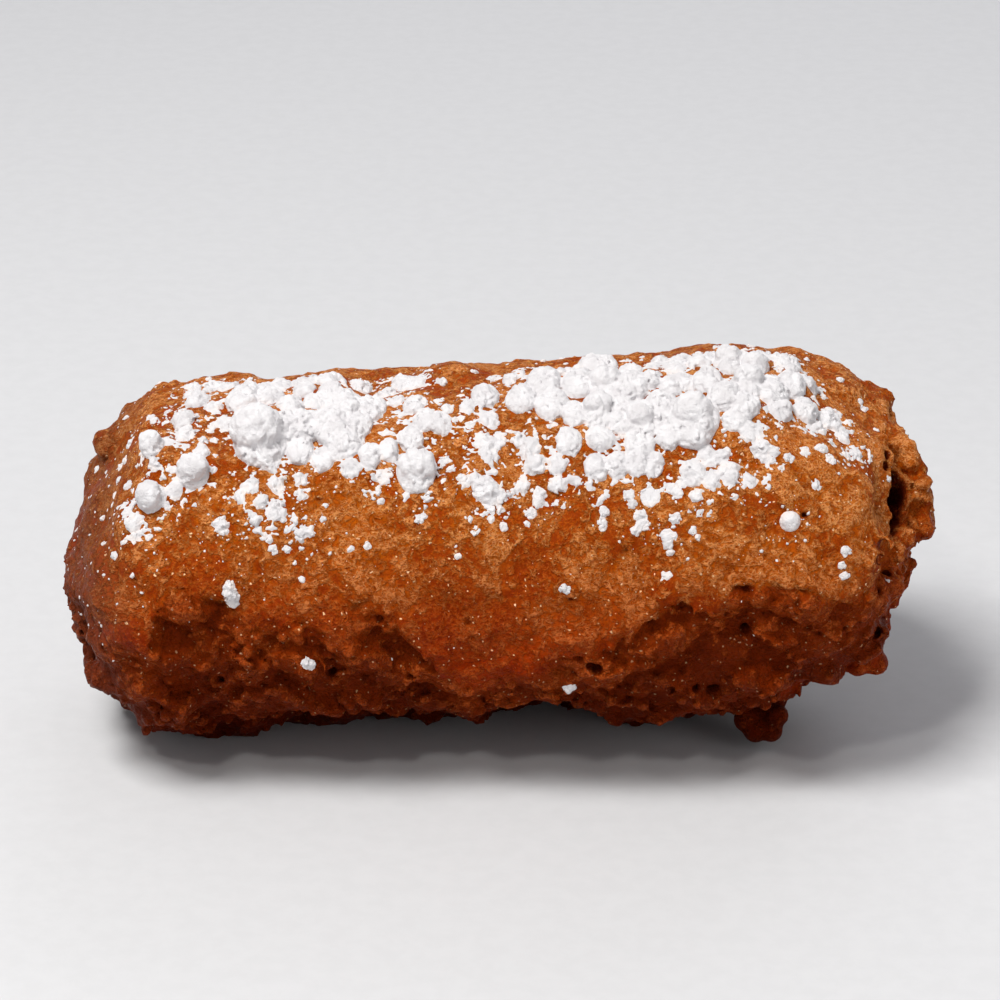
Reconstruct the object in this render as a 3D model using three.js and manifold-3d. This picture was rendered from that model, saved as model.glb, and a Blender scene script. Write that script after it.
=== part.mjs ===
// A deep-fried sponge cake: a stubby log of sponge in a craggy batter crust, dusted with clumped
// powdered sugar. Millimetres and degrees. +X runs along the cake, +Y to its back, +Z up; the origin
// is the middle of the box's base, on the surface that the cake rests on.
// An angle round the cake starts at the front, level with the axis, and grows upwards over the top.
import * as THREE from "three";
import { mergeVertices } from "three/addons/utils/BufferGeometryUtils.js";
import Module from "manifold-3d";

const wasm = await Module();
wasm.setup();

// Driving dimensions of the crust.
const LENGTH = 114;
const HALF_WIDTH = 26;
const HALF_UP = 21.8;
const HALF_DOWN = 21.4;
const AXIS_HEIGHT = 26.6;
const AXIS_RISE = 0.045;
const LEFT_DROOP = { from: -44, drop: 3 };
const SQUARENESS_UP = 2.15;
const SQUARENESS_DOWN = 2;
const LEFT_CAP = { end: LENGTH / 2, length: 12.5, fall: 2.7, blunt: 0.7 };
const RIGHT_CAP = { end: LENGTH / 2 - 2.5, length: 17, fall: 3, blunt: 0.77 };

// Broad swells and hollows of the batter: place along the cake, angle, their two spreads, height.
const SWELLS = [
  { x: 32, angle: 80, length: 15, arc: 60, height: 1.3 },
  { x: -8, angle: -112, length: 48, arc: 40, height: 7.2 },
  { x: 22, angle: -108, length: 12, arc: 30, height: 3.4 },
  { x: -34, angle: -90, length: 10, arc: 24, height: 3 },
  { x: -20, angle: -64, length: 9, arc: 20, height: -2.4 },
  { x: 21, angle: -45, length: 15, arc: 40, height: 2.7 },
  { x: -46, angle: -50, length: 6, arc: 18, height: 1.6 },
  { x: 6.5, angle: -66, length: 5, arc: 26, height: -4.4 },
  { x: 47, angle: -78, length: 8, arc: 30, height: -2.4 },
  { x: -52, angle: 70, length: 6, arc: 40, height: -4 },
  { x: -50, angle: -66, length: 4, arc: 24, height: -3.4 },
  { x: 46, angle: 72, length: 7, arc: 40, height: -3.6 },
  { x: 24, angle: -150, length: 16, arc: 34, height: 1.8 },
  { x: -22, angle: 172, length: 13, arc: 32, height: 1.2 },
  { x: 2, angle: -128, length: 7, arc: 22, height: -1.6 },
];

// The upper skin of batter ends in a ragged lip, and the crust below it lies deeper.
// Each pair is a place along the cake and the lip's height above the axis there.
const SKIN_DEPTH = 1.4;
const SKIN_SLOPE = 1.8;
const SKIN_LIP = { height: 0.5, width: 2.2 };
const LIP_RAGGED = 1.2;
const FRONT_LIP = [
  [-57, 3.5], [-50, 1], [-45, -2.5], [-42, 4], [-34, 3.5], [-21, 0.5], [-16, 3], [-12, -2.5],
  [-5, -9], [3, -7.5], [11, -5], [24, 2], [31, 4], [38, 2.3], [46, 1], [57, 3.5],
];
const BACK_LIP = [
  [-57, 2.5], [-44, -5], [-34, 1.5], [-22, -2], [-12, -10], [-3, -7], [8, 1], [20, 2.5], [30, -6],
  [40, -11], [48, -3], [57, 1],
];
const LIP_TURN = 12;

// Deep pits and crevices: place, angle, radius and depth.
const PITS = [
  { x: 49.2, angle: 31, radius: 2.9, depth: 3.4 },
  { x: 49, angle: 12, radius: 2.6, depth: 2.4 },
  { x: -14, angle: -3, radius: 3.2, depth: 0.9 },
  { x: -38, angle: 3, radius: 4, depth: 0.9 },
  { x: -53, angle: -8, radius: 3.6, depth: 1.2 },
  { x: -50.5, angle: -40, radius: 3.6, depth: 1.1 },
  { x: 27, angle: -14, radius: 5, depth: 1 },
];

// Uneven relief: rolling lumps everywhere, and crags that are deeper below the lip.
const LUMP_HEIGHT = 0.45;
const LUMP_SPACING = 15;
const CRAG_HEIGHT = 0.85;
const CRAG_SPACING = 8.5;
const SKIN_CALM = 0.35;
const WAVES = 9;
const WAVE_PACE = { least: 0.7, more: 0.8 };

// Nubs and drips of batter that stand out: centre and half sizes along X, Y and Z.
const NUBS = [
  { at: [34.8, -7.2, 3.3], half: [3, 2.9, 3.6] },
  { at: [34.4, -4.5, 7], half: [2.3, 3, 3.2] },
  { at: [45.9, -10.6, 14.2], half: [3.6, 3.2, 2.4] },
  { at: [-46.2, -13.1, 6.4], half: [1.8, 2.6, 3] },
  { at: [-51.8, 1.5, 38.6], half: [1.6, 2.4, 2] },
  { at: [50.8, -2, 37], half: [2.6, 4, 4] },
  { at: [52.8, -2.5, 32.2], half: [3.2, 5, 5.2] },
  { at: [50.2, -5, 26], half: [2.5, 4.6, 5.4] },
  { at: [-43, 14, 9], half: [3.4, 3, 3] },
  { at: [41, 17, 15], half: [3, 3, 2.4] },
];

// Drifts of powdered sugar. Beds are ovals of lumps: centre, half length, half arc, height.
// Balls are the large round lumps on them: place, angle, radius.
const LEFT_DRIFT = {
  seed: 500,
  beds: [
    { x: -24.5, angle: 72, length: 13.5, arc: 25, height: 2.2 },
    { x: -11.5, angle: 62, length: 4.5, arc: 20, height: 1.8 },
    { x: -39.5, angle: 70, length: 3.5, arc: 22, height: 1.5 },
    { x: -30, angle: 40, length: 4.5, arc: 11, height: 1.2 },
    { x: -41.5, angle: 45, length: 4, arc: 10, height: 1 },
  ],
  balls: [[-30.2, 60, 4.2], [-22.5, 60, 3.2], [-10.5, 45, 2.8], [-38.7, 48, 2.6], [-43.8, 40, 2.5]],
};
const RIGHT_DRIFT = {
  seed: 900,
  beds: [
    { x: 14.5, angle: 68, length: 14, arc: 26, height: 2.8 },
    { x: 32, angle: 82, length: 8.5, arc: 18, height: 2.6 },
    { x: 39, angle: 70, length: 5, arc: 12, height: 1.8 },
    { x: 43.5, angle: 56, length: 3.6, arc: 11, height: 1.2 },
    { x: 31.5, angle: 46, length: 5, arc: 10, height: 1.1 },
    { x: 1, angle: 46, length: 5.5, arc: 13, height: 1.3 },
    { x: -0.5, angle: 72, length: 5, arc: 10, height: 1.6 },
  ],
  balls: [[24.6, 56, 4.4], [17.5, 60, 3.8], [9, 66, 3.6], [31, 84, 3.2]],
};
const BED_STEP = 4.8;
const BED_JITTER = 0.5;
const BED_LUMP = { small: 2.8, large: 4 };
const BED_HEIGHTS = { least: 0.7, more: 0.6, fallToRim: 0.4 };
const BALL_HEIGHT = 1.25;
const LUMP_LIFT = 0.25;

// A bare gap parts the two drifts, and a hair's breadth parts them from the crust.
const PARTING = { x: -5.6, width: 0.8 };
const SUGAR_GAP = 0.6;

// Loose lumps that lie apart from the drifts, fused to the crust: place, angle, radius.
const LOOSE_LUMPS = [
  [-44.4, 64, 1.9], [-33.7, 11, 1.4], [36.3, 25, 1.4], [-35, 29, 1.3], [-24.5, 27, 1.1], [-9.2, 31, 1.1],
  [12.8, 28, 0.9], [17.7, 27, 1.1], [21.2, 21, 1], [8.2, 9, 0.8], [20.8, 11, 0.8], [43.4, 12, 0.9],
  [39.6, 35, 0.8], [-24.2, -12, 0.8], [-5, 104, 1.2], [47, 70, 0.9], [-47, 80, 1], [22, 110, 1.2],
  [-20, 112, 1.2], [4, 116, 1],
];
const LOOSE_HEIGHT = 0.95;
const LOOSE_SEED = 700;

// Faces: steps along the cake, round one quarter of it, and the share of the section that the
// flat mesh of each end covers. They are merged where that moves the surface by no more than a limit.
const CRUST_STEPS = { along: 46, quarter: 14 };
const CLEARANCE_STEPS = { along: 34, quarter: 11 };
const END_SHARE = 0.76;
const CRUST_TIDY = 0.05;
const SUGAR_TIDY = 0.15;

// Lumps are round solids of unit size made uneven, before they get their own size.
const LUMP_UNEVENNESS = 0.16;
const LUMP_WAVE = 1.6;
const NUB_SEED = 300;
const NUB_DETAIL = 2;
const BALL_DETAIL = 1;

// The step by which directions on the smooth form are found, and the smallest step between points.
const PROBE = 0.4;
const MERGE_WITHIN = 1e-4;

const CRUST_COLOUR = 0xa8581c;
const SUGAR_COLOUR = 0xf2f0f2;
const DEGREE = Math.PI / 180;
const UP = new THREE.Vector3(0, 0, 1);

// Repeatable random numbers from 0 to 1.
function seeded(seed) {
  let state = seed;
  return () => {
    state = (state + 0x6d2b79f5) | 0;
    let t = Math.imul(state ^ (state >>> 15), 1 | state);
    t = (t + Math.imul(t ^ (t >>> 7), 61 | t)) ^ t;
    return ((t ^ (t >>> 14)) >>> 0) / 4294967296;
  };
}

// A smooth uneven field, about -1 to 1, made of waves in random directions.
function unevenField(seed, spacing) {
  const random = seeded(seed);
  const waves = Array.from({ length: WAVES }, () => {
    const up = 2 * random() - 1;
    const turn = 2 * Math.PI * random();
    const flat = Math.sqrt(1 - up * up);
    const pace = (2 * Math.PI * (WAVE_PACE.least + WAVE_PACE.more * random())) / spacing;
    return {
      way: new THREE.Vector3(flat * Math.cos(turn), flat * Math.sin(turn), up).multiplyScalar(pace),
      start: 2 * Math.PI * random(),
    };
  });
  return (p) => waves.reduce((sum, w) => sum + Math.sin(w.way.dot(p) + w.start), 0) / Math.sqrt(WAVES);
}

const lumps = unevenField(11, LUMP_SPACING);
const crags = unevenField(23, CRAG_SPACING);

// An eased step from 0 at one value to 1 at another.
function smooth(from, to, value) {
  const t = THREE.MathUtils.clamp((value - from) / (to - from), 0, 1);
  return t * t * (3 - 2 * t);
}

// A value between neighbouring pairs of a list, eased from one to the next.
function along(pairs, x) {
  const next = pairs.findIndex(([place]) => place > x);
  if (next <= 0) return pairs[next === 0 ? 0 : pairs.length - 1][1];
  const [x0, v0] = pairs[next - 1];
  const [x1, v1] = pairs[next];
  return v0 + (v1 - v0) * smooth(x0, x1, x);
}

function angleGap(a, b) {
  return Math.abs(((a - b + 540) % 360) - 180);
}

function axisHeight(x) {
  const droop = LEFT_DROOP.drop * smooth(LEFT_DROOP.from, -LENGTH / 2, x);
  return AXIS_HEIGHT + AXIS_RISE * x - droop;
}

// The share of the full section left at a place along the cake, 1 to 0 at the tips.
function capShare(x) {
  const cap = x < 0 ? LEFT_CAP : RIGHT_CAP;
  const into = Math.max(0, (Math.abs(x) - cap.end + cap.length) / cap.length);
  return Math.max(0, 1 - into ** cap.fall) ** cap.blunt;
}

// The place along the cake where a cap's section has shrunk to that share.
function capPlace(side, share) {
  const cap = side < 0 ? LEFT_CAP : RIGHT_CAP;
  const into = (1 - share ** (1 / cap.blunt)) ** (1 / cap.fall);
  return side * (cap.end - cap.length + cap.length * into);
}

function sectionRadius(x, angle) {
  const c = Math.abs(Math.cos(angle * DEGREE)) / HALF_WIDTH;
  const s = Math.sin(angle * DEGREE);
  const power = s < 0 ? SQUARENESS_DOWN : SQUARENESS_UP;
  const round = (c ** power + (Math.abs(s) / (s < 0 ? HALF_DOWN : HALF_UP)) ** power) ** (-1 / power);
  return SWELLS.reduce(
    (r, w) =>
      r + w.height * Math.exp(-(((x - w.x) / w.length) ** 2) - (angleGap(angle, w.angle) / w.arc) ** 2),
    round,
  );
}

// A point of the smooth form under the crags.
function formPoint(x, share, angle) {
  const radius = share * sectionRadius(x, angle);
  return new THREE.Vector3(
    x,
    -radius * Math.cos(angle * DEGREE),
    axisHeight(x) + radius * Math.sin(angle * DEGREE),
  );
}

// How far a point lies below the skin's lip, which runs from the front's to the back's over the ends.
function belowLip(p) {
  const toBack = smooth(-LIP_TURN, LIP_TURN, p.y);
  const lip = along(FRONT_LIP, p.x) * (1 - toBack) + along(BACK_LIP, p.x) * toBack;
  return lip + LIP_RAGGED * lumps(p) - (p.z - axisHeight(p.x));
}

const pitCentres = PITS.map(({ x, angle, radius, depth }) => ({
  centre: formPoint(x, capShare(x), angle),
  radius,
  depth,
}));

// How far the crust stands out from the smooth form.
function relief(p) {
  const below = belowLip(p);
  const under = smooth(-SKIN_SLOPE / 2, SKIN_SLOPE / 2, below);
  const lip = SKIN_LIP.height * Math.exp(-(((below + SKIN_SLOPE) / SKIN_LIP.width) ** 2));
  const pits = pitCentres.reduce(
    (sum, { centre, radius, depth }) => sum + depth * Math.exp(-((p.distanceTo(centre) / radius) ** 2)),
    0,
  );
  const rough = CRAG_HEIGHT * (SKIN_CALM + (1 - SKIN_CALM) * under);
  return LUMP_HEIGHT * lumps(p) + rough * crags(p) + lip - SKIN_DEPTH * under - pits;
}

// A closed block of grid faces, bent into the smooth form. Its long faces are the cake's sides.
function formGeometry({ along: lengthwise, quarter }) {
  const block = new THREE.BoxGeometry(2, 2, 2, lengthwise, quarter, quarter);
  block.deleteAttribute("normal");
  block.deleteAttribute("uv");
  const geometry = mergeVertices(block, MERGE_WITHIN);
  const place = geometry.getAttribute("position");
  const leftEdge = capPlace(-1, END_SHARE);
  const rightEdge = capPlace(1, END_SHARE);
  for (let i = 0; i < place.count; i++) {
    const [a, b, c] = [place.getX(i), place.getY(i), place.getZ(i)];
    const out = Math.max(Math.abs(b), Math.abs(c));
    const turn = squareAngle(b, c, out);
    const onEnd = out < 1 - MERGE_WITHIN;
    const share = onEnd ? END_SHARE * out : null;
    const x = onEnd ? capPlace(Math.sign(a), share) : leftEdge + ((a + 1) / 2) * (rightEdge - leftEdge);
    const p = formPoint(x, share ?? capShare(x), turn);
    place.setXYZ(i, p.x, p.y, p.z);
  }
  geometry.computeVertexNormals();
  return geometry;
}

// The angle of a point on a square, spaced evenly round it.
function squareAngle(b, c, out) {
  if (out === 0) return 0;
  const u = b / out;
  const v = c / out;
  if (Math.abs(v) >= Math.abs(u)) return v > 0 ? 90 + 45 * u : -90 - 45 * u;
  return u > 0 ? 180 - 45 * v : 45 * v;
}

// The crust's surface, moved out by a distance.
function crustGeometry(steps, outward) {
  const geometry = formGeometry(steps);
  const place = geometry.getAttribute("position");
  const normal = geometry.getAttribute("normal");
  const p = new THREE.Vector3();
  const n = new THREE.Vector3();
  for (let i = 0; i < place.count; i++) {
    p.fromBufferAttribute(place, i);
    n.fromBufferAttribute(normal, i);
    p.addScaledVector(n, relief(p) + outward);
    place.setXYZ(i, p.x, p.y, p.z);
  }
  return geometry;
}

function solidOf(geometry) {
  const bare = new THREE.BufferGeometry();
  bare.setAttribute("position", geometry.getAttribute("position"));
  bare.setIndex(geometry.index);
  const merged = mergeVertices(bare, MERGE_WITHIN);
  return new wasm.Manifold(
    new wasm.Mesh({
      numProp: 3,
      vertProperties: new Float32Array(merged.getAttribute("position").array),
      triVerts: new Uint32Array(merged.index.array),
    }),
  );
}

// An uneven lump, squashed along its upright axis, which then points along a direction.
function lumpGeometry(centre, half, up, detail, seed) {
  const geometry = new THREE.IcosahedronGeometry(1, detail);
  const uneven = unevenField(seed, LUMP_WAVE);
  const place = geometry.getAttribute("position");
  const turn = new THREE.Quaternion().setFromUnitVectors(UP, up);
  const p = new THREE.Vector3();
  for (let i = 0; i < place.count; i++) {
    p.fromBufferAttribute(place, i);
    p.multiplyScalar(1 + LUMP_UNEVENNESS * uneven(p)).multiply(half);
    p.applyQuaternion(turn).add(centre);
    place.setXYZ(i, p.x, p.y, p.z);
  }
  geometry.deleteAttribute("normal");
  geometry.deleteAttribute("uv");
  return geometry;
}

function batterNubs() {
  return NUBS.map(({ at, half }, i) =>
    solidOf(lumpGeometry(new THREE.Vector3(...at), new THREE.Vector3(...half), UP, NUB_DETAIL, NUB_SEED + i)),
  );
}

// The point of the crust at a place and angle, and the direction straight out of it.
function crustSpot(x, angle) {
  const at = formPoint(x, capShare(x), angle);
  const ahead = formPoint(x + PROBE, capShare(x + PROBE), angle);
  const above = formPoint(x, capShare(x), angle + PROBE);
  const out = ahead.sub(at).cross(above.sub(at)).normalize();
  return { at: at.addScaledVector(out, relief(at)), out };
}

// Evenly spaced lumps of sugar over a drift's beds, each moved a little, drawn from a seed.
function bedLumps(beds, seed) {
  const random = seeded(seed);
  return beds.flatMap(({ x, angle, length, arc, height }) => {
    const columns = Math.ceil((2 * length) / BED_STEP);
    const rows = Math.ceil((2 * arc * DEGREE * HALF_UP) / BED_STEP);
    const filled = [];
    for (let i = 0; i <= columns; i++) {
      for (let j = 0; j <= rows; j++) {
        const u = (2 * i + (j % 2) - 0.5 + BED_JITTER * (2 * random() - 1)) / columns - 1;
        const v = (2 * j + BED_JITTER * (2 * random() - 1)) / rows - 1;
        const toRim = u * u + v * v;
        const radius = BED_LUMP.small + (BED_LUMP.large - BED_LUMP.small) * random();
        const share = (BED_HEIGHTS.least + BED_HEIGHTS.more * random()) * (1 - BED_HEIGHTS.fallToRim * toRim);
        if (toRim > 1) continue;
        filled.push({ x: x + u * length, angle: angle + v * arc, radius, tall: height * share });
      }
    }
    return filled;
  });
}

// One lump on the crust: a radius along it, and a height above it.
function sugarLump({ x, angle, radius, tall }, detail, seed) {
  const { at, out } = crustSpot(x, angle);
  const half = new THREE.Vector3(radius, radius, tall / (1 + LUMP_LIFT));
  const centre = at.addScaledVector(out, half.z * LUMP_LIFT + SUGAR_GAP);
  return solidOf(lumpGeometry(centre, half, out, detail, seed));
}

function looseLump([x, angle, radius], outward, i) {
  const grown = radius + outward;
  return sugarLump({ x, angle, radius: grown, tall: LOOSE_HEIGHT * grown }, 0, LOOSE_SEED + i);
}

// The largest body of a solid, without the loose scraps.
function mainBody(solid) {
  const bodies = solid.decompose();
  return bodies.reduce((a, b) => (b.volume() > a.volume() ? b : a));
}

function block(width, depth, height, x, z) {
  const geometry = new THREE.BoxGeometry(width, depth, height);
  geometry.translate(x, 0, z);
  geometry.deleteAttribute("normal");
  geometry.deleteAttribute("uv");
  return solidOf(geometry);
}

function sugarDrift({ beds, balls, seed }, keepClear) {
  const bed = bedLumps(beds, seed).map((lump, i) => sugarLump(lump, 0, seed + i));
  const round = balls.map(([x, angle, radius], i) =>
    sugarLump({ x, angle, radius, tall: BALL_HEIGHT * radius }, BALL_DETAIL, seed + i),
  );
  return mainBody(wasm.Manifold.union([...bed, ...round]).subtract(keepClear).simplify(SUGAR_TIDY));
}

function geometryOf(solid) {
  const mesh = solid.getMesh();
  const geometry = new THREE.BufferGeometry();
  geometry.setAttribute("position", new THREE.BufferAttribute(mesh.vertProperties, 3));
  geometry.setIndex(new THREE.BufferAttribute(mesh.triVerts, 1));
  return geometry;
}

function namedMesh(name, solid, material) {
  const mesh = new THREE.Mesh(geometryOf(solid), material);
  mesh.name = name;
  return mesh;
}

const crustMaterial = new THREE.MeshStandardMaterial({ color: CRUST_COLOUR, roughness: 0.5, metalness: 0 });
const sugarMaterial = new THREE.MeshStandardMaterial({ color: SUGAR_COLOUR, roughness: 0.95, metalness: 0 });

const floorBlock = block(2 * LENGTH, 2 * LENGTH, HALF_DOWN, 0, -HALF_DOWN / 2);
const partingBlock = block(PARTING.width, LENGTH, LENGTH, PARTING.x, LENGTH / 2);
const looseSugar = LOOSE_LUMPS.map((lump, i) => looseLump(lump, 0, i));
const crust = wasm.Manifold.union([solidOf(crustGeometry(CRUST_STEPS, 0)), ...batterNubs()]);
const cake = mainBody(wasm.Manifold.union([crust, ...looseSugar]).subtract(floorBlock).simplify(CRUST_TIDY));
const keepClear = wasm.Manifold.union([
  solidOf(crustGeometry(CLEARANCE_STEPS, SUGAR_GAP)),
  ...batterNubs(),
  ...LOOSE_LUMPS.map((lump, i) => looseLump(lump, SUGAR_GAP, i)),
  partingBlock,
]);

const deepFriedCake = new THREE.Group();
deepFriedCake.add(
  namedMesh("fried_cake", cake, crustMaterial),
  namedMesh("sugar_drift_left", sugarDrift(LEFT_DRIFT, keepClear), sugarMaterial),
  namedMesh("sugar_drift_right", sugarDrift(RIGHT_DRIFT, keepClear), sugarMaterial),
);

// The box's base has its middle at the origin.
const box = new THREE.Box3().setFromObject(deepFriedCake);
const middle = box.getCenter(new THREE.Vector3());
for (const mesh of deepFriedCake.children) mesh.geometry.translate(-middle.x, -middle.y, 0);

export default deepFriedCake;
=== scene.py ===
"""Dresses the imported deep-fried sponge cake: its craggy batter crust and its powdered sugar.

Millimetres and degrees are used while things are sculpted, in the part's own coordinates, and meshes are
made in metres in the frame's. An angle round the cake starts at the front, level with the axis, and grows
upwards over the top.
"""

import math

import bpy
import numpy as np
import openvdb
from bpy.props import FloatProperty, FloatVectorProperty, IntProperty, PointerProperty
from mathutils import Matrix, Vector


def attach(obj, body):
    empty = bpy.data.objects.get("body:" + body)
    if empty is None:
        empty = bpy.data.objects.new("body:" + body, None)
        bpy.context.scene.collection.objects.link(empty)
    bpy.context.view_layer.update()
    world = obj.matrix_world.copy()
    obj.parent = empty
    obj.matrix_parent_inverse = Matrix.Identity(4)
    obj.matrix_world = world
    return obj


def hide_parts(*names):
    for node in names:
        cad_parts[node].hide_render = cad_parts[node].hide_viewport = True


bl_info = {
    "name": "Deep-fried sponge cake",
    "version": (1, 0, 0),
    "blender": (4, 5, 0),
    "location": "3D View > Sidebar > Fried Cake",
    "description": "Dresses the packed model of a deep-fried sponge cake in its crust and powdered sugar",
    "category": "Object",
}

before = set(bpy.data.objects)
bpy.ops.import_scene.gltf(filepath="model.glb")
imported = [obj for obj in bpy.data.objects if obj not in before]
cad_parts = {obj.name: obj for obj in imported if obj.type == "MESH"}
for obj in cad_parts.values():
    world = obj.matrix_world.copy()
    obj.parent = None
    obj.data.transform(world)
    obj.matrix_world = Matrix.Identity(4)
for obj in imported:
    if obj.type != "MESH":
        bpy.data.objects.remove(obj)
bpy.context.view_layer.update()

# The smooth form under the crags, as the part's source has it.
LEFT_END, RIGHT_END = -57.0, 54.5
HALF_WIDTH, HALF_UP, HALF_DOWN = 26.0, 21.8, 21.4
AXIS_HEIGHT, AXIS_RISE = 26.6, 0.045
LEFT_DROOP = {"from": -44.0, "to": -57.0, "drop": 3.0}
SQUARENESS_UP, SQUARENESS_DOWN = 2.15, 2.0
LEFT_CAP = {"end": 57.0, "length": 12.5, "fall": 2.7, "blunt": 0.7}
RIGHT_CAP = {"end": 54.5, "length": 17.0, "fall": 3.0, "blunt": 0.77}
FORM_SHIFT = np.array((0.3615, -0.2627, 0.0))

# Broad swells and hollows: place along the cake, angle, their two spreads, height.
SWELLS = (
    (32, 80, 15, 60, 1.3), (-8, -112, 48, 40, 7.2), (22, -108, 12, 30, 3.4), (-34, -90, 10, 24, 3),
    (-20, -64, 9, 20, -2.4), (21, -45, 15, 40, 2.7), (-46, -50, 6, 18, 1.6), (6.5, -66, 5, 26, -4.4),
    (47, -78, 8, 30, -2.4), (-52, 70, 6, 40, -4), (-50, -66, 4, 24, -3.4), (46, 72, 7, 40, -3.6),
    (24, -150, 16, 34, 1.8), (-22, 172, 13, 32, 1.2), (2, -128, 7, 22, -1.6),
)

# Slight corrections where the photograph's outline lies closer in than the part's form, listed the same way.
TRIMS = (
    (-40, 108, 9, 26, -1.5), (-18, 104, 8, 24, -1.3), (43, 88, 7, 26, -0.9), (-54, -34, 4, 30, -1.2),
    (-21, -76, 7, 20, -0.8), (53, -14, 4, 40, -1.3), (53, 70, 6, 35, -1.3), (-25, -68, 6, 20, -0.8),
    (4, -68, 7, 20, -1.2), (25, -68, 5, 20, -1.0), (43, -60, 5, 22, -1.2), (54, -46, 4, 24, -1.8),
    (7, -72, 4, 20, -1.0),
)

# The lip of the upper skin: place along the cake and height above the axis, at the front and the back.
FRONT_LIP = (
    (-57, 3.5), (-50, 1), (-45, -2.5), (-42, 4), (-34, 3.5), (-21, 0.5), (-16, 3), (-12, -2.5),
    (-5, -9), (3, -7.5), (11, -5), (24, 2), (31, 4), (38, 2.3), (46, 1), (57, 3.5),
)
BACK_LIP = (
    (-57, 2.5), (-44, -5), (-34, 1.5), (-22, -2), (-12, -10), (-3, -7), (8, 1), (20, 2.5), (30, -6),
    (40, -11), (48, -3), (57, 1),
)
LIP_TURN = 12.0
LIP_RAGGED = 1.2
SKIN_DEPTH = 1.2

# Wide soft pits of the form: place, angle, radius, depth.
SOFT_PITS = (
    (49.2, 31, 2.9, 3.4), (49, 12, 2.6, 2.4), (-14, -3, 3.2, 0.9), (-38, 3, 4, 0.9), (-53, -8, 3.6, 1.2),
    (-50.5, -40, 3.6, 1.1), (27, -14, 5, 1),
)

# Nubs and drips that stand out: centre and half sizes.
NUBS = (
    ((34.8, -7.2, 3.3), (3, 2.9, 3.6)), ((34.4, -4.5, 7), (2.3, 3, 3.2)),
    ((45.9, -10.6, 14.2), (3.6, 3.2, 2.4)), ((-46.2, -13.1, 7.2), (1.8, 2.6, 2.6)),
    ((-51.8, 1.5, 38.6), (1.6, 2.4, 2)), ((50.8, -2, 37), (2.6, 4, 4)),
    ((52.8, -2.5, 32.2), (3.2, 5, 5.2)), ((50.2, -5, 26), (2.5, 4.6, 5.4)),
    ((-43, 14, 9), (3.4, 3, 3)), ((41, 17, 15), (3, 3, 2.4)),
)

# The camera, which also finds what is placed by a pixel of the photograph.
ELEVATION = math.radians(24)
DISTANCE = 520.0
VIEW_WIDTH = 131.6
PHOTO_SIDE = 1000
PIXEL = VIEW_WIDTH / PHOTO_SIDE
AIM = np.array((0.07, 1.87, 31.0))
TOWARDS = np.array((0, -math.cos(ELEVATION), math.sin(ELEVATION)))

# The crust's grid: two corners of its box, how far from the form it is worked on, and the cells on each side
# of the form that know their distance from it.
CRUST_REACH = ((-61, -31, -3), (61, 31, 56))
BAND = 3.4
LEVEL_SET_CELLS = 10
FORM_RINGS, FORM_TURNS = 240, 260
SCATTER_RINGS, SCATTER_TURNS = 120, 130

# Where a line of sight is searched for the surface: from, to and by what step, from the camera.
RAY = (440.0, 570.0, 0.3)

# Steps that move a point to the surface, and the most that each moves it.
SETTLE_STEPS = 4
SETTLE_MOST = 1.5

# What keeps a place inside the last cell of a grid, and the least slope that still gives a way out.
LAST_CELL = 1.001
LEAST_SLOPE = 1e-6

# Waves of the uneven fields, and the least of their pace with what chance adds to it.
WAVES = 9
WAVE_PACE = (0.7, 0.8)

# Odd numbers that scramble a cell's place and a seed, what brings the noise to about -1 to 1, and how many
# points are worked out at a time, so that they fit in the processor's cache.
SCRAMBLE = (374761393, 668265263, 2246822519)
SCRAMBLE_SEED, SCRAMBLE_MORE = 3266489917, 2654435761
NOISE_GAIN = 1.7
NOISE_BATCH = 8192


def seeded(seed):
    """Repeatable numbers from 0 to 1, the same as the part's source draws."""
    state = seed
    while True:
        state = (state + 0x6D2B79F5) & 0xFFFFFFFF
        t = ((state ^ (state >> 15)) * (1 | state)) & 0xFFFFFFFF
        t = ((t + (((t ^ (t >> 7)) * (61 | t)) & 0xFFFFFFFF)) & 0xFFFFFFFF) ^ t
        yield ((t ^ (t >> 14)) & 0xFFFFFFFF) / 2**32


def uneven_field(seed, spacing):
    """A smooth field of waves in random directions, about -1 to 1."""
    draw = seeded(seed)
    waves = []
    for _ in range(WAVES):
        up = 2 * next(draw) - 1
        turn = 2 * math.pi * next(draw)
        flat = math.sqrt(1 - up * up)
        pace = 2 * math.pi * (WAVE_PACE[0] + WAVE_PACE[1] * next(draw)) / spacing
        way = np.array((flat * math.cos(turn), flat * math.sin(turn), up), np.float32) * pace
        waves.append((way, 2 * math.pi * next(draw)))
    return lambda p: sum(np.sin(p @ way + start) for way, start in waves) / math.sqrt(WAVES)


rolling = uneven_field(11, 15)
craggy = uneven_field(23, 8.5)

# Slopes in random directions, which the noise blends.
GRADIENTS = np.random.default_rng(5).normal(size=(256, 3)).astype(np.float32)
GRADIENTS /= np.linalg.norm(GRADIENTS, axis=1, keepdims=True)


def noise(p, spacing, seed):
    """Gradient noise at points, about -1 to 1, with features of about that spacing."""
    values = np.empty(len(p), np.float32)
    for start in range(0, len(p), NOISE_BATCH):
        batch = slice(start, start + NOISE_BATCH)
        values[batch] = batch_noise(p[batch], spacing, seed)
    return values


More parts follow.
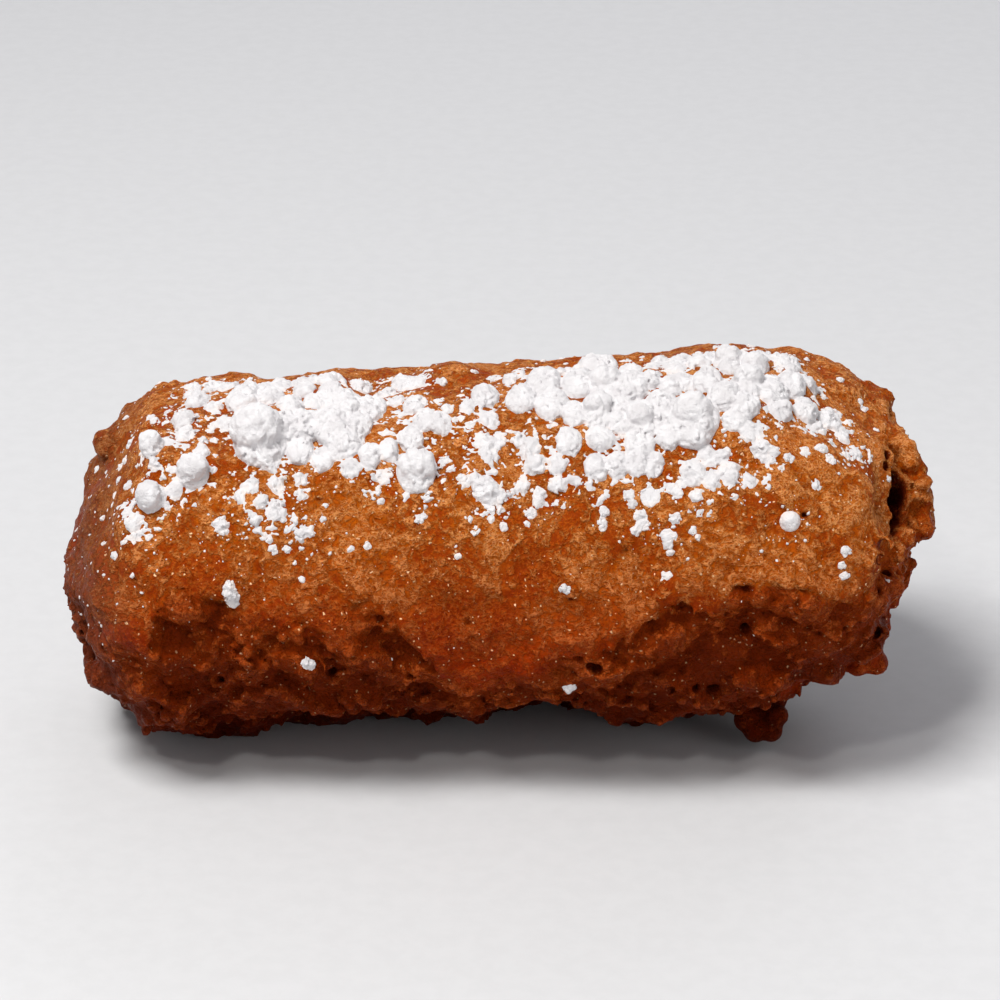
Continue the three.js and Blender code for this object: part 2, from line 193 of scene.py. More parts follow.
def batch_noise(p, spacing, seed):
    """The noise at a few points: the slopes of the eight corners round each, blended by how near they are."""
    q = p / np.float32(spacing)
    cell = np.floor(q)
    part = (q - cell).astype(np.float32)
    cell = cell.T.astype(np.int64).astype(np.uint32)
    ease = part.T * part.T * part.T * (part.T * (part.T * 6 - 15) + 10)
    shares = np.stack([1 - ease, ease])
    keys = [[(cell[i] + np.uint32(side)) * np.uint32(SCRAMBLE[i]) for side in (0, 1)] for i in range(3)]
    first = np.uint32(seed * SCRAMBLE_SEED % 2**32)
    total = np.zeros(len(p), np.float32)
    for i, j, k in np.ndindex(2, 2, 2):
        key = (keys[0][i] ^ keys[1][j] ^ keys[2][k]) + first
        key = (key ^ (key >> np.uint32(15))) * np.uint32(SCRAMBLE_MORE)
        key ^= key >> np.uint32(13)
        slope = np.take(GRADIENTS, key & np.uint32(255), axis=0)
        away = part - np.array((i, j, k), np.float32)
        total += shares[i, 0] * shares[j, 1] * shares[k, 2] * np.einsum("ij,ij->i", slope, away)
    return total * np.float32(NOISE_GAIN)


def fractal(p, spacing, octaves, seed, keep=0.5):
    """Noise of several spacings, each half as wide and weaker by keep."""
    return sum(keep**i * noise(p, spacing / 2**i, seed + i) for i in range(octaves))


def smooth(low, high, value):
    t = np.clip((value - low) / (high - low), 0, 1)
    return t * t * (3 - 2 * t)


def eased_along(pairs, x):
    """A value between neighbouring pairs of a list, eased from one to the next."""
    places, values = (np.array(column, float) for column in zip(*pairs))
    i = np.clip(np.searchsorted(places, x, side="right"), 1, len(places) - 1)
    share = smooth(0, 1, (x - places[i - 1]) / (places[i] - places[i - 1]))
    return values[i - 1] + (values[i] - values[i - 1]) * share


def soft_min(a, b, reach):
    h = np.clip(0.5 + 0.5 * (b - a) / reach, 0, 1)
    return b * (1 - h) + a * h - reach * h * (1 - h)


def soft_max(a, b, reach):
    return -soft_min(-a, -b, reach)


def unit(vectors):
    return vectors / np.linalg.norm(vectors, axis=-1, keepdims=True)


def axis_height(x):
    droop = LEFT_DROOP["drop"] * smooth(-LEFT_DROOP["from"], -LEFT_DROOP["to"], -x)
    return AXIS_HEIGHT + AXIS_RISE * x - droop


def cap_share(x):
    """The share of the full section that is left at a place along the cake."""
    share = np.ones_like(x)
    for side, cap in ((-1, LEFT_CAP), (1, RIGHT_CAP)):
        into = np.maximum(0, (side * x - cap["end"] + cap["length"]) / cap["length"])
        share *= np.maximum(0, 1 - into ** cap["fall"]) ** cap["blunt"]
    return share


def section_radius(x, angle):
    turn = np.radians(angle)
    across = np.abs(np.cos(turn)) / HALF_WIDTH
    upward = np.sin(turn)
    power = np.where(upward < 0, SQUARENESS_DOWN, SQUARENESS_UP)
    reach = np.where(upward < 0, HALF_DOWN, HALF_UP)
    radius = (across**power + (np.abs(upward) / reach) ** power) ** (-1 / power)
    for place, middle, length, arc, height in SWELLS + TRIMS:
        gap = np.abs((angle - middle + 540) % 360 - 180)
        radius = radius + height * np.exp(-(((x - place) / length) ** 2) - (gap / arc) ** 2)
    return radius


def form_points(x, angle):
    radius = cap_share(x) * section_radius(x, angle)
    turn = np.radians(angle)
    return np.stack([x + 0 * radius, -radius * np.cos(turn), axis_height(x) + radius * np.sin(turn)], -1)


def below_lip(p):
    """How far points lie below the skin's lip, which passes from the front's to the back's over the ends."""
    to_back = smooth(-LIP_TURN, LIP_TURN, p[:, 1])
    lip = eased_along(FRONT_LIP, p[:, 0]) * (1 - to_back) + eased_along(BACK_LIP, p[:, 0]) * to_back
    return lip + LIP_RAGGED * rolling(p) - (p[:, 2] - axis_height(p[:, 0]))


def form_mesh(rings=FORM_RINGS, turns=FORM_TURNS):
    """Points, quads and triangles of the smooth form."""
    steps = np.linspace(0, np.pi, rings + 1)[1:-1]
    middle, half = (RIGHT_END + LEFT_END) / 2, (RIGHT_END - LEFT_END) / 2
    x, angle = np.meshgrid(middle - half * np.cos(steps), np.arange(turns) * 360 / turns, indexing="ij")
    tips = [(end, 0, float(axis_height(np.array(end)))) for end in (LEFT_END, RIGHT_END)]
    points = np.vstack([form_points(x, angle).reshape(-1, 3), tips])
    ring = np.arange(turns)
    after = (ring + 1) % turns
    starts = np.arange(rings - 2)[:, None] * turns
    quads = np.stack([starts + ring, starts + after, starts + after + turns, starts + ring + turns], -1)
    last = (rings - 2) * turns
    left = np.stack([np.full(turns, len(points) - 2), after, ring], -1)
    right = np.stack([np.full(turns, len(points) - 1), last + ring, last + after], -1)
    return points, quads.reshape(-1, 4), np.vstack([left, right])


class Volume:
    """Distances from a surface on a grid, in millimetres, below 0 inside, with the holes cut into it."""

    def __init__(self, low, high, voxel, far):
        self.voxel = voxel
        self.first = np.floor(np.array(low) / voxel).astype(int)
        shape = np.ceil(np.array(high) / voxel).astype(int) - self.first + 1
        self.far = far
        self.values = np.full(shape, far, np.float32)
        self.holes = []

    def points(self, chosen):
        return ((np.stack(chosen, -1) + self.first) * self.voxel).astype(np.float32)

    def sample(self, points, values=None):
        """The value between grid points, straight from one to the next."""
        values = self.values if values is None else values
        q = np.clip(points / self.voxel - self.first, 0, np.array(values.shape) - LAST_CELL)
        cell = q.astype(int)
        part = q - cell
        total = 0
        for corner in np.ndindex(2, 2, 2):
            at = tuple((cell + corner).T)
            total = total + values[at] * np.prod(np.where(corner, part, 1 - part), axis=1)
        return total

    def outward(self, points):
        """The direction straight out of the surface near points."""
        step = np.eye(3) * self.voxel
        slope = np.stack([self.sample(points + s) - self.sample(points - s) for s in step], -1)
        return slope / np.maximum(np.linalg.norm(slope, axis=1, keepdims=True), LEAST_SLOPE)

    def settle(self, points):
        """Moves points onto the surface, in steps along the way out."""
        for _ in range(SETTLE_STEPS):
            gap = np.clip(self.sample(points), -SETTLE_MOST, SETTLE_MOST)
            points = points - self.outward(points) * gap[:, None]
        return points

    def window(self, centre, reach):
        """The part of the grid within reach of a place, and the offsets from it along each axis."""
        low = np.maximum(np.floor((centre - reach) / self.voxel).astype(int) - self.first, 0)
        high = np.ceil((centre + reach) / self.voxel).astype(int) - self.first + 1
        high = np.maximum(low, np.minimum(high, self.values.shape))
        axes = [(np.arange(low[i], high[i]) + self.first[i]) * self.voxel - centre[i] for i in range(3)]
        return tuple(slice(a, b) for a, b in zip(low, high)), np.ix_(*axes)

    def ball(self, centre, radius, soft, cut=False, half=None):
        """Adds a ball, or an oval of half sizes, or cuts it out, with a soft join."""
        half = np.full(3, radius) if half is None else np.array(half, float)
        window, (x, y, z) = self.window(centre, half + soft + 2 * self.voxel)
        away = np.sqrt((x / half[0]) ** 2 + (y / half[1]) ** 2 + (z / half[2]) ** 2) - 1
        away = (away * half.min()).astype(np.float32)
        there = self.values[window]
        self.values[window] = soft_max(there, -away, soft) if cut else soft_min(there, away, soft)

    def resampled(self, other):
        """The values at another grid's points."""
        values = self.values
        for axis in range(3):
            place = (np.arange(other.values.shape[axis]) + other.first[axis]) * other.voxel / self.voxel
            place = np.clip(place - self.first[axis], 0, values.shape[axis] - LAST_CELL)
            cell = place.astype(int)
            share = (place - cell).astype(np.float32).reshape([-1 if i == axis else 1 for i in range(3)])
            values = np.take(values, cell, axis) * (1 - share) + np.take(values, cell + 1, axis) * share
        return values

    def filling(self, steps):
        """How much of the box round each grid point, that many steps each way, is inside, smoothed once."""
        share = np.clip(0.5 - self.values / self.voxel, 0, 1)
        for axis in (0, 1, 2, 0, 1, 2):
            margins = [(steps + 1, steps) if i == axis else (0, 0) for i in range(3)]
            padded = np.pad(share, margins, mode="edge")
            total = np.cumsum(padded, axis=axis, dtype=np.float64)
            count = share.shape[axis]
            above = np.take(total, range(2 * steps + 1, 2 * steps + 1 + count), axis=axis)
            share = ((above - np.take(total, range(count), axis=axis)) / (2 * steps + 1)).astype(np.float32)
        return share

    def surface(self):
        """Points and faces of the surface."""
        grid = openvdb.FloatGrid(background=self.far)
        grid.copyFromArray(self.values, ijk=tuple(int(i) for i in self.first))
        grid.transform = openvdb.createLinearTransform(voxelSize=self.voxel)
        points, triangles, quads = grid.convertToPolygons(isovalue=0, adaptivity=0)
        faces = [*quads.tolist(), *triangles.tolist()]
        return points, faces


def form_volume(voxel):
    points, quads, triangles = form_mesh()
    volume = Volume(*CRUST_REACH, voxel, LEVEL_SET_CELLS * voxel)
    grid = openvdb.FloatGrid.createLevelSetFromPolygons(
        points.astype(np.float32),
        triangles=triangles.astype(np.uint32),
        quads=quads.astype(np.uint32),
        transform=openvdb.createLinearTransform(voxelSize=voxel),
        halfWidth=LEVEL_SET_CELLS,
    )
    grid.copyToArray(volume.values, ijk=tuple(int(i) for i in volume.first))
    return volume


def scattered(count, random):
    """Points spread evenly over the smooth form, drawn at random."""
    points, quads, _ = form_mesh(SCATTER_RINGS, SCATTER_TURNS)
    corners = points[quads]
    sides = corners[:, 2] - corners[:, 0], corners[:, 3] - corners[:, 1]
    area = np.linalg.norm(np.cross(*sides), axis=1)
    chosen = corners[random.choice(len(quads), count, p=area / area.sum())]
    u, v = random.random((2, count, 1))
    low = chosen[:, 0] * (1 - u) + chosen[:, 1] * u
    return low * (1 - v) + (chosen[:, 3] * (1 - u) + chosen[:, 2] * u) * v


def seen(volume, pixels):
    """Where the camera sees the surface behind pixels of the photograph, and the way out there."""
    pixels = np.array(pixels, float)
    up = np.array((0, math.sin(ELEVATION), math.cos(ELEVATION)))
    right = np.array((1.0, 0, 0))
    across = (pixels[:, :1] - PHOTO_SIDE / 2) * PIXEL
    raised = (PHOTO_SIDE / 2 - pixels[:, 1:2]) * PIXEL
    ways = unit(across * right + raised * up - TOWARDS * DISTANCE)
    along = np.arange(*RAY)[:, None]
    spots = AIM - FORM_SHIFT + TOWARDS * DISTANCE + along * ways[:, None, :]
    gaps = volume.sample(spots.reshape(-1, 3)).reshape(len(pixels), -1)
    first = np.where((gaps < 0).any(axis=1), (gaps < 0).argmax(axis=1), gaps.argmin(axis=1))
    spots = volume.settle(spots[np.arange(len(pixels)), first])
    return spots, volume.outward(spots)


def to_metres(points):
    return (points + FORM_SHIFT) / 1000


def bodies(points, faces, least):
    """The faces of the bodies with at least that share of all points, with the points that they use."""
    label = np.arange(len(points))
    edges = np.array([(f[i], f[(i + 1) % len(f)]) for f in faces for i in range(len(f))])
    while True:
        lowest = np.minimum(label[edges[:, 0]], label[edges[:, 1]])
        new = label.copy()
        np.minimum.at(new, edges[:, 0], lowest)
        np.minimum.at(new, edges[:, 1], lowest)
        new = new[new]
        if (new == label).all():
            break
        label = new
    kept = np.bincount(label, minlength=len(points))[label] >= least * len(points)
    number = np.cumsum(kept) - 1
    return points[kept], [tuple(number[i] for i in f) for f in faces if kept[f[0]]]


# Relief of the skin and of the layers under it, as spacings and heights in millimetres, with seeds. Scabs are
# thin layers with ragged edges, and an edge leans back by its undercut for each millimetre down.
UNDERCUT = 0.15
SCAB = {"octaves": 4, "keep": 0.6, "edge": 0.05}
LIP_NOISE = ((6.0, 1.2), (2.5, 1.0), (1.2, 0.85), (0.6, 0.35))
LIP_SEED = 31
LIP_SWELL = {"height": 0.45, "below": -1.6, "width": 1.8}
SKIN_SCABS = ((6.5, 0.22, 41), (2.4, 0.12, 47))
UNDER_SCABS = ((7.0, 0.4, 53), (2.8, 0.34, 59), (1.5, 0.2, 61))
UNDER_RIDGES = ((4.5, 0.22, 65), (1.8, 0.26, 67))
SKIN_GRAIN = ((1.1, 0.12), (1.9, 0.1))
UNDER_GRAIN = ((1.2, 0.24), (2.4, 0.16))
GROOVES = (-15.0, -5.6, 5.8, 12.8, 17.2)
GROOVE = {
    "width": 0.9, "depth": 0.35, "low": (-2.0, 2.0), "high": (11.0, 16.0), "wander": 0.7, "spacing": 7,
    "seed": 103,
}

# Each layer: its share of the crags, how far it lies inwards, how softly its edge joins, where it stops being
# worked out, below the lip, and the seed of its grain. Both share the swells.
SKIN = {"crags": 0.3, "inwards": 0.12, "soft": 0.12, "until": 1.5, "seed": 107}
UNDER = {"crags": 0.75, "inwards": 0.3, "soft": 0.2, "from": -3.5, "seed": 121}
SWELL_SHARE = 0.45
NUB_SOFT = 0.8
LAYER_SOFT = 0.25
CORE_INWARDS = 0.6

# How much of the skin's full depth its edge has along the cake, deepest over the hollows of the front.
EDGE_DEPTH = (
    (-57, 0.9), (-47, 0.8), (-42.5, 1), (-36, 0.95), (-32, 0.35), (-16, 0.4), (-12, 0.95), (-6, 0.9),
    (-3, 0.6), (8, 0.5), (13, 1), (30, 1), (45, 0.8), (50, 0.5), (57, 0.5),
)

# A second ragged layer ends lower down: how far below the lip, how much that varies, and its depth.
MIDDLE_LAYER = {"below": 5.0, "wander": 4.0, "spacing": 9.0, "depth": 0.65, "seed": 109}

# At the torn right end the skin stops short of the tip.
TORN_EDGE = 50.2
TORN_SLOPE = 0.8

# Holes of the front: pixel of the photograph, radius in millimetres, steps inwards and whether it has a rim.
FRONT_HOLES = (
    (745, 629, 0.75, 3, False), (713, 689, 0.95, 3, True), (597, 671, 0.85, 2, False),
    (591, 668, 0.7, 2, False), (804, 515, 0.42, 2, False), (410, 678, 0.55, 2, True),
    (716, 628, 0.3, 1, False), (332, 672, 0.7, 2, False), (672, 690, 0.7, 2, False),
    (697, 688, 0.7, 2, True), (240, 690, 0.5, 2, False), (222, 679, 0.45, 1, False),
    (570, 600, 0.35, 1, False), (622, 640, 0.3, 1, False), (655, 672, 0.3, 1, False),
)

# Holes of the back: place along the cake, angle, radius, steps inwards and whether it has a rim.
BACK_HOLES = (
    (28, 208, 0.8, 3, True), (-18, 200, 0.9, 2, True), (-39, 216, 0.6, 2, False), (6, 222, 1.0, 3, True),
    (-52, 150, 0.5, 1, False), (44, 205, 0.9, 2, False), (14, 165, 0.4, 2, False), (-30, 158, 0.45, 2, False),
)
HOLE = {"sunk": 0.15, "step": 0.75, "narrowing": 0.12, "soft": 0.12, "shade": 1.3}
HOLE_RIM = {"wide": 1.3, "sunk": 0.6, "soft": 0.3}

# The crevice at the torn end: pixel of the photograph, radius in millimetres and steps inwards.
CREVICE = (
    (895, 476, 1.4, 3), (899, 489, 2.0, 4), (900, 502, 2.2, 4), (898, 515, 1.9, 4), (893, 527, 1.3, 3),
    (888, 455, 0.7, 2), (886, 466, 0.7, 1), (884, 545, 0.9, 2), (881, 560, 0.8, 2), (886, 574, 0.7, 1),
    (879, 590, 0.6, 1), (876, 632, 0.8, 2), (869, 640, 0.6, 1), (908, 556, 0.6, 1), (900, 572, 0.6, 1),
)
CREVICE_LEAN = 2

# The ragged rim beyond the crevice, as a line of pixels, with the crumbs that it is made of.
TORN_RIM = ((890, 446), (903, 451), (914, 461), (920, 478), (925, 498), (921, 517), (911, 532), (902, 546),
            (901, 562), (898, 580), (891, 597))
RIM_CRUMBS = {"step": 0.55, "radius": (0.5, 1.25), "wander": 0.6, "sunk": 0.3, "soft": 0.25, "seed": 127}

# Thin ledges of batter: their line in pixels of the photograph. Each overhangs what lies below it.
LEDGES = (
    ((150, 709), (176, 714), (205, 713), (230, 706), (253, 694), (272, 686), (290, 694), (310, 704),
     (335, 707), (371, 704), (400, 707)),
    ((676, 687), (690, 694), (705, 703), (725, 706), (745, 704), (765, 696), (777, 684)),
)
LEDGE = {"step": 0.6, "radius": (0.5, 1.0), "out": 0.15, "soft": 0.25, "wander": 0.4, "seed": 113}
LEDGE_CUT = {"radius": 1.3, "under": 1.9, "out": 0.3, "soft": 0.5}
UNEVEN = (0.7, 1.2)

# Spikes of batter: foot, tip and the radius of the foot.
SPIKE = {"step": 0.35, "narrowing": 0.6, "soft": 0.25}
SPIKES = (
    ((-45.6, -13, 9), (-46.5, -14.2, 5.2), 1.5), ((-41, -13.6, 8.4), (-41.2, -14.6, 6.4), 0.9),
    ((-46.5, -21, 19), (-47.2, -21.6, 14.6), 1.0), ((-45, -20.6, 15), (-44.6, -21.2, 11.4), 0.7),
    ((-13.6, -15.6, 10.5), (-13.6, -16.5, 8.6), 0.8), ((-4.8, -15.6, 10.5), (-4.6, -16.5, 8.9), 0.8),
    ((52.4, 3, 36), (54.2, 2.5, 37.4), 0.8), ((54, 1, 31.5), (55.8, 0.8, 33), 0.9),
    ((38.4, -11, 10.4), (38.9, -11.9, 9.3), 0.7),
)

# Knobs on the drip and on the right nub, as balls: centre and radius.
KNOBS = (
    ((34.2, -7.4, 6.8), 1.5), ((32.2, -8.8, 4.2), 1.7), ((36.4, -8.4, 4.6), 1.4), ((35.4, -9.3, 2.9), 1.6),
    ((33.4, -9.4, 3), 1.7), ((47.4, -11.4, 15.2), 2.2), ((48.7, -11.6, 13.9), 1.6), ((46.2, -12, 13.8), 1.5),
    ((48.2, -10.5, 17.6), 1.2),
)
KNOB_SOFT = 0.3

# Small relief at random places: count, smallest and largest radius, how far the middle lies under the
# surface as a share of the radius, the least and most skin that it takes, and how softly it joins.
BELOW_LIP, ON_SKIN = (-1, 0.5), (0.5, 2)
BLISTERS = {"count": 260, "radius": (0.5, 1.6), "sunk": 0.78, "skin": BELOW_LIP, "seed": 71, "soft": 0.6}
SKIN_CRUMBS = {"count": 1100, "radius": (0.3, 0.65), "sunk": 0.6, "skin": ON_SKIN, "seed": 89, "soft": 0.3}
CRUMBS = {"count": 2600, "radius": (0.32, 0.8), "sunk": 0.3, "skin": BELOW_LIP, "seed": 83, "soft": 0.2}
UNDER_PITS = {"count": 320, "radius": (0.28, 0.7), "sunk": 0.4, "skin": BELOW_LIP, "seed": 73, "soft": 0.15}
SKIN_PITS = {"count": 220, "radius": (0.28, 0.5), "sunk": 0.25, "skin": ON_SKIN, "seed": 79, "soft": 0.12}
RAISED = (BLISTERS, SKIN_CRUMBS, CRUMBS)
SUNKEN = (UNDER_PITS, SKIN_PITS)

# How uneven the sides of this relief are, how much more often small sizes come, and half the width in which
# the skin's share passes at the lip.
OVAL = (0.75, 1.3)
MOSTLY_SMALL = 2.2
SKIN_EDGE = 0.8

# Shreds that hang from the lip: how many are tried for each one kept, how near to the lip they start, and how
# far they reach in, out and down.
SHREDS = {"count": 120, "tried": 14, "near": 0.7, "length": (0.5, 1.1), "radius": 0.45, "seed": 97}
SHRED_WAY = {"in": 0.3, "out": 0.4, "down": 0.8}

# Spots that are browned like the skin, although they lie below it: centre and radius.
TOASTED = (
    ((47.4, -11, 14.8), 4.6), ((54, -4, 29), 8.5), ((50, -8, 22), 5), ((-45.5, -12.5, 7), 2.6),
    ((37, -13, 13), 4.5), ((-24, -17.5, 13), 3.4),
)
TOAST = 0.8

# Over how many millimetres below the lip the skin's colour fades, where its edge is deep and shallow, and how
# far down the painted shade below the lip grows darker.
FADE = {"deep": 1.0, "shallow": 8.0, "above": 0.6, "darker": 15}
CRUST_TRIANGLES = 196000


def scabs(p, layers):
    """Thin layers of batter with ragged edges."""
    total = 0
    for spacing, height, seed in layers:
        rough = fractal(p, spacing, SCAB["octaves"], seed, SCAB["keep"])
        total = total + height * smooth(-SCAB["edge"], SCAB["edge"], rough)
    return total


def ridges(p, layers):
    """Thin ridges along the middle level of noise."""
    return sum(height * (0.5 - 2 * np.abs(noise(p, spacing, seed))) for spacing, height, seed in layers)


def grain(p, layers, seed):
    """Noise of several spacings and heights."""
    return sum(height * noise(p, spacing, seed + i) for i, (spacing, height) in enumerate(layers))


def soft_pits(p):
    depth = np.zeros(len(p), np.float32)
    for place, angle, radius, deep in SOFT_PITS:
        centre = form_points(np.array([float(place)]), np.array([float(angle)]))[0]
        away = ((p - centre) ** 2).sum(1) / radius**2
        depth += deep * np.exp(-away)
    return depth


def grooves(p):
    """Faint upright grooves on the front of the skin."""
    height = p[:, 2] - axis_height(p[:, 0])
    window = smooth(*GROOVE["low"], height) * (1 - smooth(*GROOVE["high"], height))
    wander = GROOVE["wander"] * noise(p, GROOVE["spacing"], GROOVE["seed"])
    across = sum(np.exp(-(((p[:, 0] + wander - x) / GROOVE["width"]) ** 2)) for x in GROOVES)
    return GROOVE["depth"] * window * across * (p[:, 1] < 0)


def ragged_below(p, torn=True):
    """How far points lie below the skin's lip, with its raggedness, or beyond its torn edge."""
    beyond = (p[:, 0] - TORN_EDGE) / TORN_SLOPE if torn else -np.inf
    return np.maximum(below_lip(p), beyond) + grain(p, LIP_NOISE, LIP_SEED)


def browning(p):
    """How golden points are, from 1 on the skin to 0 below it, and how deep below the skin they lie."""
    below = ragged_below(p, torn=False)
    width = FADE["deep"] + (FADE["shallow"] - FADE["deep"]) * (1 - eased_along(EDGE_DEPTH, p[:, 0]))
    golden = 1 - smooth(-FADE["above"] * width, width, below)
    for centre, radius in TOASTED:
        golden = np.maximum(golden, TOAST * np.exp(-((p - centre) ** 2).sum(axis=1) / radius**2))
    return golden, smooth(0, FADE["darker"], below)


def sculpt_layers(volume):
    """Turns the smooth form into the upper skin and the deeper layers below its lip."""
    for centre, half in NUBS:
        volume.ball(np.array(centre), 0, NUB_SOFT, half=half)
    chosen = np.nonzero(np.abs(volume.values) < BAND)
    p = volume.points(chosen)
    form = volume.values[chosen]
    below = ragged_below(p)
    shared = SWELL_SHARE * rolling(p) - soft_pits(p)
    crags = craggy(p)
    step = SKIN_DEPTH * eased_along(EDGE_DEPTH, p[:, 0])
    skin = np.full(len(p), volume.far, np.float32)
    high = below < SKIN["until"]
    q = p[high]
    swell = LIP_SWELL["height"] * np.exp(-(((below[high] - LIP_SWELL["below"]) / LIP_SWELL["width"]) ** 2))
    relief = scabs(q, SKIN_SCABS) + grain(q, SKIN_GRAIN, SKIN["seed"]) - grooves(q)
    skin[high] = form[high] - shared[high] - SKIN["crags"] * crags[high] - swell - relief + SKIN["inwards"]
    skin[high] = soft_max(skin[high], below[high] - UNDERCUT * skin[high], SKIN["soft"])
    deep = np.full(len(p), volume.far, np.float32)
    low = below > UNDER["from"]
    q = p[low]
    base = form[low] - shared[low] - UNDER["crags"] * crags[low]
    relief = scabs(q, UNDER_SCABS) + ridges(q, UNDER_RIDGES) + grain(q, UNDER_GRAIN, UNDER["seed"])
    under = base - relief + step[low] + UNDER["inwards"]
    wander = MIDDLE_LAYER["wander"] * noise(q, MIDDLE_LAYER["spacing"], MIDDLE_LAYER["seed"])
    end = below[low] - MIDDLE_LAYER["below"] - wander
    middle = under - MIDDLE_LAYER["depth"]
    middle = soft_max(middle, end - UNDERCUT * middle, UNDER["soft"])
    deep[low] = soft_min(under, middle, UNDER["soft"])
    inner = form - shared + SKIN_DEPTH + CORE_INWARDS
    volume.values[chosen] = soft_min(np.minimum(deep, inner), skin, LAYER_SOFT)


def random_spots(volume, kind, random):
    """Random places on the surface where there is the right share of skin, with radii, mostly small ones."""
    spots = volume.settle(scattered(kind["count"] * 2, random))
    skin = 1 - smooth(-SKIN_EDGE, SKIN_EDGE, ragged_below(spots))
    fits = (skin > kind["skin"][0]) & (skin < kind["skin"][1])
    spots = spots[fits][: kind["count"]]
    small, large = kind["radius"]
    return spots, small + (large - small) * random.random(len(spots)) ** MOSTLY_SMALL


def sculpt_bubbles(volume):
    """Blisters, pits, crumbs and shreds of batter."""
    for kind in RAISED + SUNKEN:
        random = np.random.default_rng(kind["seed"])
        spots, radii = random_spots(volume, kind, random)
        centres = spots - volume.outward(spots) * (radii * kind["sunk"])[:, None]
        cut = kind in SUNKEN
        for centre, radius in zip(centres, radii):
            volume.ball(centre, radius, kind["soft"], cut=cut, half=radius * random.uniform(*OVAL, 3))
    random = np.random.default_rng(SHREDS["seed"])
    spots = volume.settle(scattered(SHREDS["count"] * SHREDS["tried"], random))
    spots = spots[np.abs(ragged_below(spots)) < SHREDS["near"]][: SHREDS["count"]]
    down = np.array((0, 0, -SHRED_WAY["down"]))
    for spot, way in zip(spots, volume.outward(spots)):
        length = random.uniform(*SHREDS["length"])
        tip = spot + (way * SHRED_WAY["out"] + down) * length
        spike(volume, spot - way * SHRED_WAY["in"], tip, SHREDS["radius"])


def spike(volume, foot, tip, radius):
    """A row of balls that get smaller from foot to tip."""
    foot, tip = np.array(foot, float), np.array(tip, float)
    steps = max(3, int(np.linalg.norm(tip - foot) / SPIKE["step"]))
    for i in range(steps + 1):
        share = i / steps
        volume.ball(foot + (tip - foot) * share, radius * (1 - SPIKE["narrowing"] * share), SPIKE["soft"])


def hole(volume, spot, way, radius, steps, rim):
    """A hole that goes in by steps, with a raised rim or without."""
    if rim:
        middle = spot - way * (HOLE["sunk"] + HOLE_RIM["sunk"] * radius)
        volume.ball(middle, HOLE_RIM["wide"] * radius, HOLE_RIM["soft"])
    for i in range(steps + 1):
        middle = spot - way * (HOLE["sunk"] + HOLE["step"] * i * radius)
        narrowed = radius * (1 - HOLE["narrowing"] * i)
        volume.ball(middle, narrowed, HOLE["soft"], cut=True)
        if i > 0:
            volume.holes.append((middle, narrowed))


def in_holes(volume, places):
    """1 deep inside the holes, 0 elsewhere."""
    inside = np.zeros(len(places))
    for middle, radius in volume.holes:
        away = np.linalg.norm(places - middle, axis=1) / radius
        inside = np.maximum(inside, 1 - smooth(1, HOLE["shade"], away))
    return inside


def walked(line, values, random):
    """Pixels along a line at even steps, each a little off it."""
    line = np.array(line, float)
    along = np.concatenate([[0], np.cumsum(np.linalg.norm(np.diff(line, axis=0), axis=1))])
    places = np.arange(0, along[-1], values["step"] / PIXEL)
    pixels = np.stack([np.interp(places, along, line[:, i]) for i in (0, 1)], -1)
    return pixels + random.normal(size=pixels.shape) * values["wander"] / PIXEL


def ledge(volume, line, random):
    """A thin uneven ledge along a line of pixels, with the crust cut back under it."""
    spots, out = seen(volume, walked(line, LEDGE, random))
    below = np.array((0, 0, -LEDGE_CUT["under"]))
    for spot, way in zip(spots, out):
        radius = LEDGE_CUT["radius"] * random.uniform(*UNEVEN)
        volume.ball(spot + way * LEDGE_CUT["out"] + below, radius, LEDGE_CUT["soft"], cut=True)
    for spot, way in zip(spots, out):
        volume.ball(spot + way * LEDGE["out"], random.uniform(*LEDGE["radius"]), LEDGE["soft"])


def sculpt_marks(volume):
    """The ledges, torn rim, crevice, holes, spikes and knobs, and the flat spots that the cake rests on."""
    random = np.random.default_rng(LEDGE["seed"])
    for line in LEDGES:
        ledge(volume, line, random)
    random = np.random.default_rng(RIM_CRUMBS["seed"])
    for spot, way in zip(*seen(volume, walked(TORN_RIM, RIM_CRUMBS, random))):
        radius = random.uniform(*RIM_CRUMBS["radius"])
        half = radius * random.uniform(*UNEVEN, 3)
        volume.ball(spot - way * RIM_CRUMBS["sunk"] * radius, 0, RIM_CRUMBS["soft"], half=half)
    for spot, way, mark in zip(*seen(volume, CREVICE), CREVICE):
        hole(volume, spot, unit(way + CREVICE_LEAN * TOWARDS), *mark[2:], rim=False)
    for spot, way, mark in zip(*seen(volume, FRONT_HOLES), FRONT_HOLES):
        hole(volume, spot, way, *mark[2:])
    x, angle = (np.array([mark[i] for mark in BACK_HOLES], float) for i in (0, 1))
    spots = volume.settle(form_points(x, angle))
    for spot, way, mark in zip(spots, volume.outward(spots), BACK_HOLES):
        hole(volume, spot, way, *mark[2:])
    for foot, tip, radius in SPIKES:
        spike(volume, foot, tip, radius)
    for centre, radius in KNOBS:
        volume.ball(np.array(centre), radius, KNOB_SOFT)
    floor = (np.arange(volume.values.shape[2]) + volume.first[2]) * volume.voxel
    volume.values = np.maximum(volume.values, -floor.astype(np.float32))


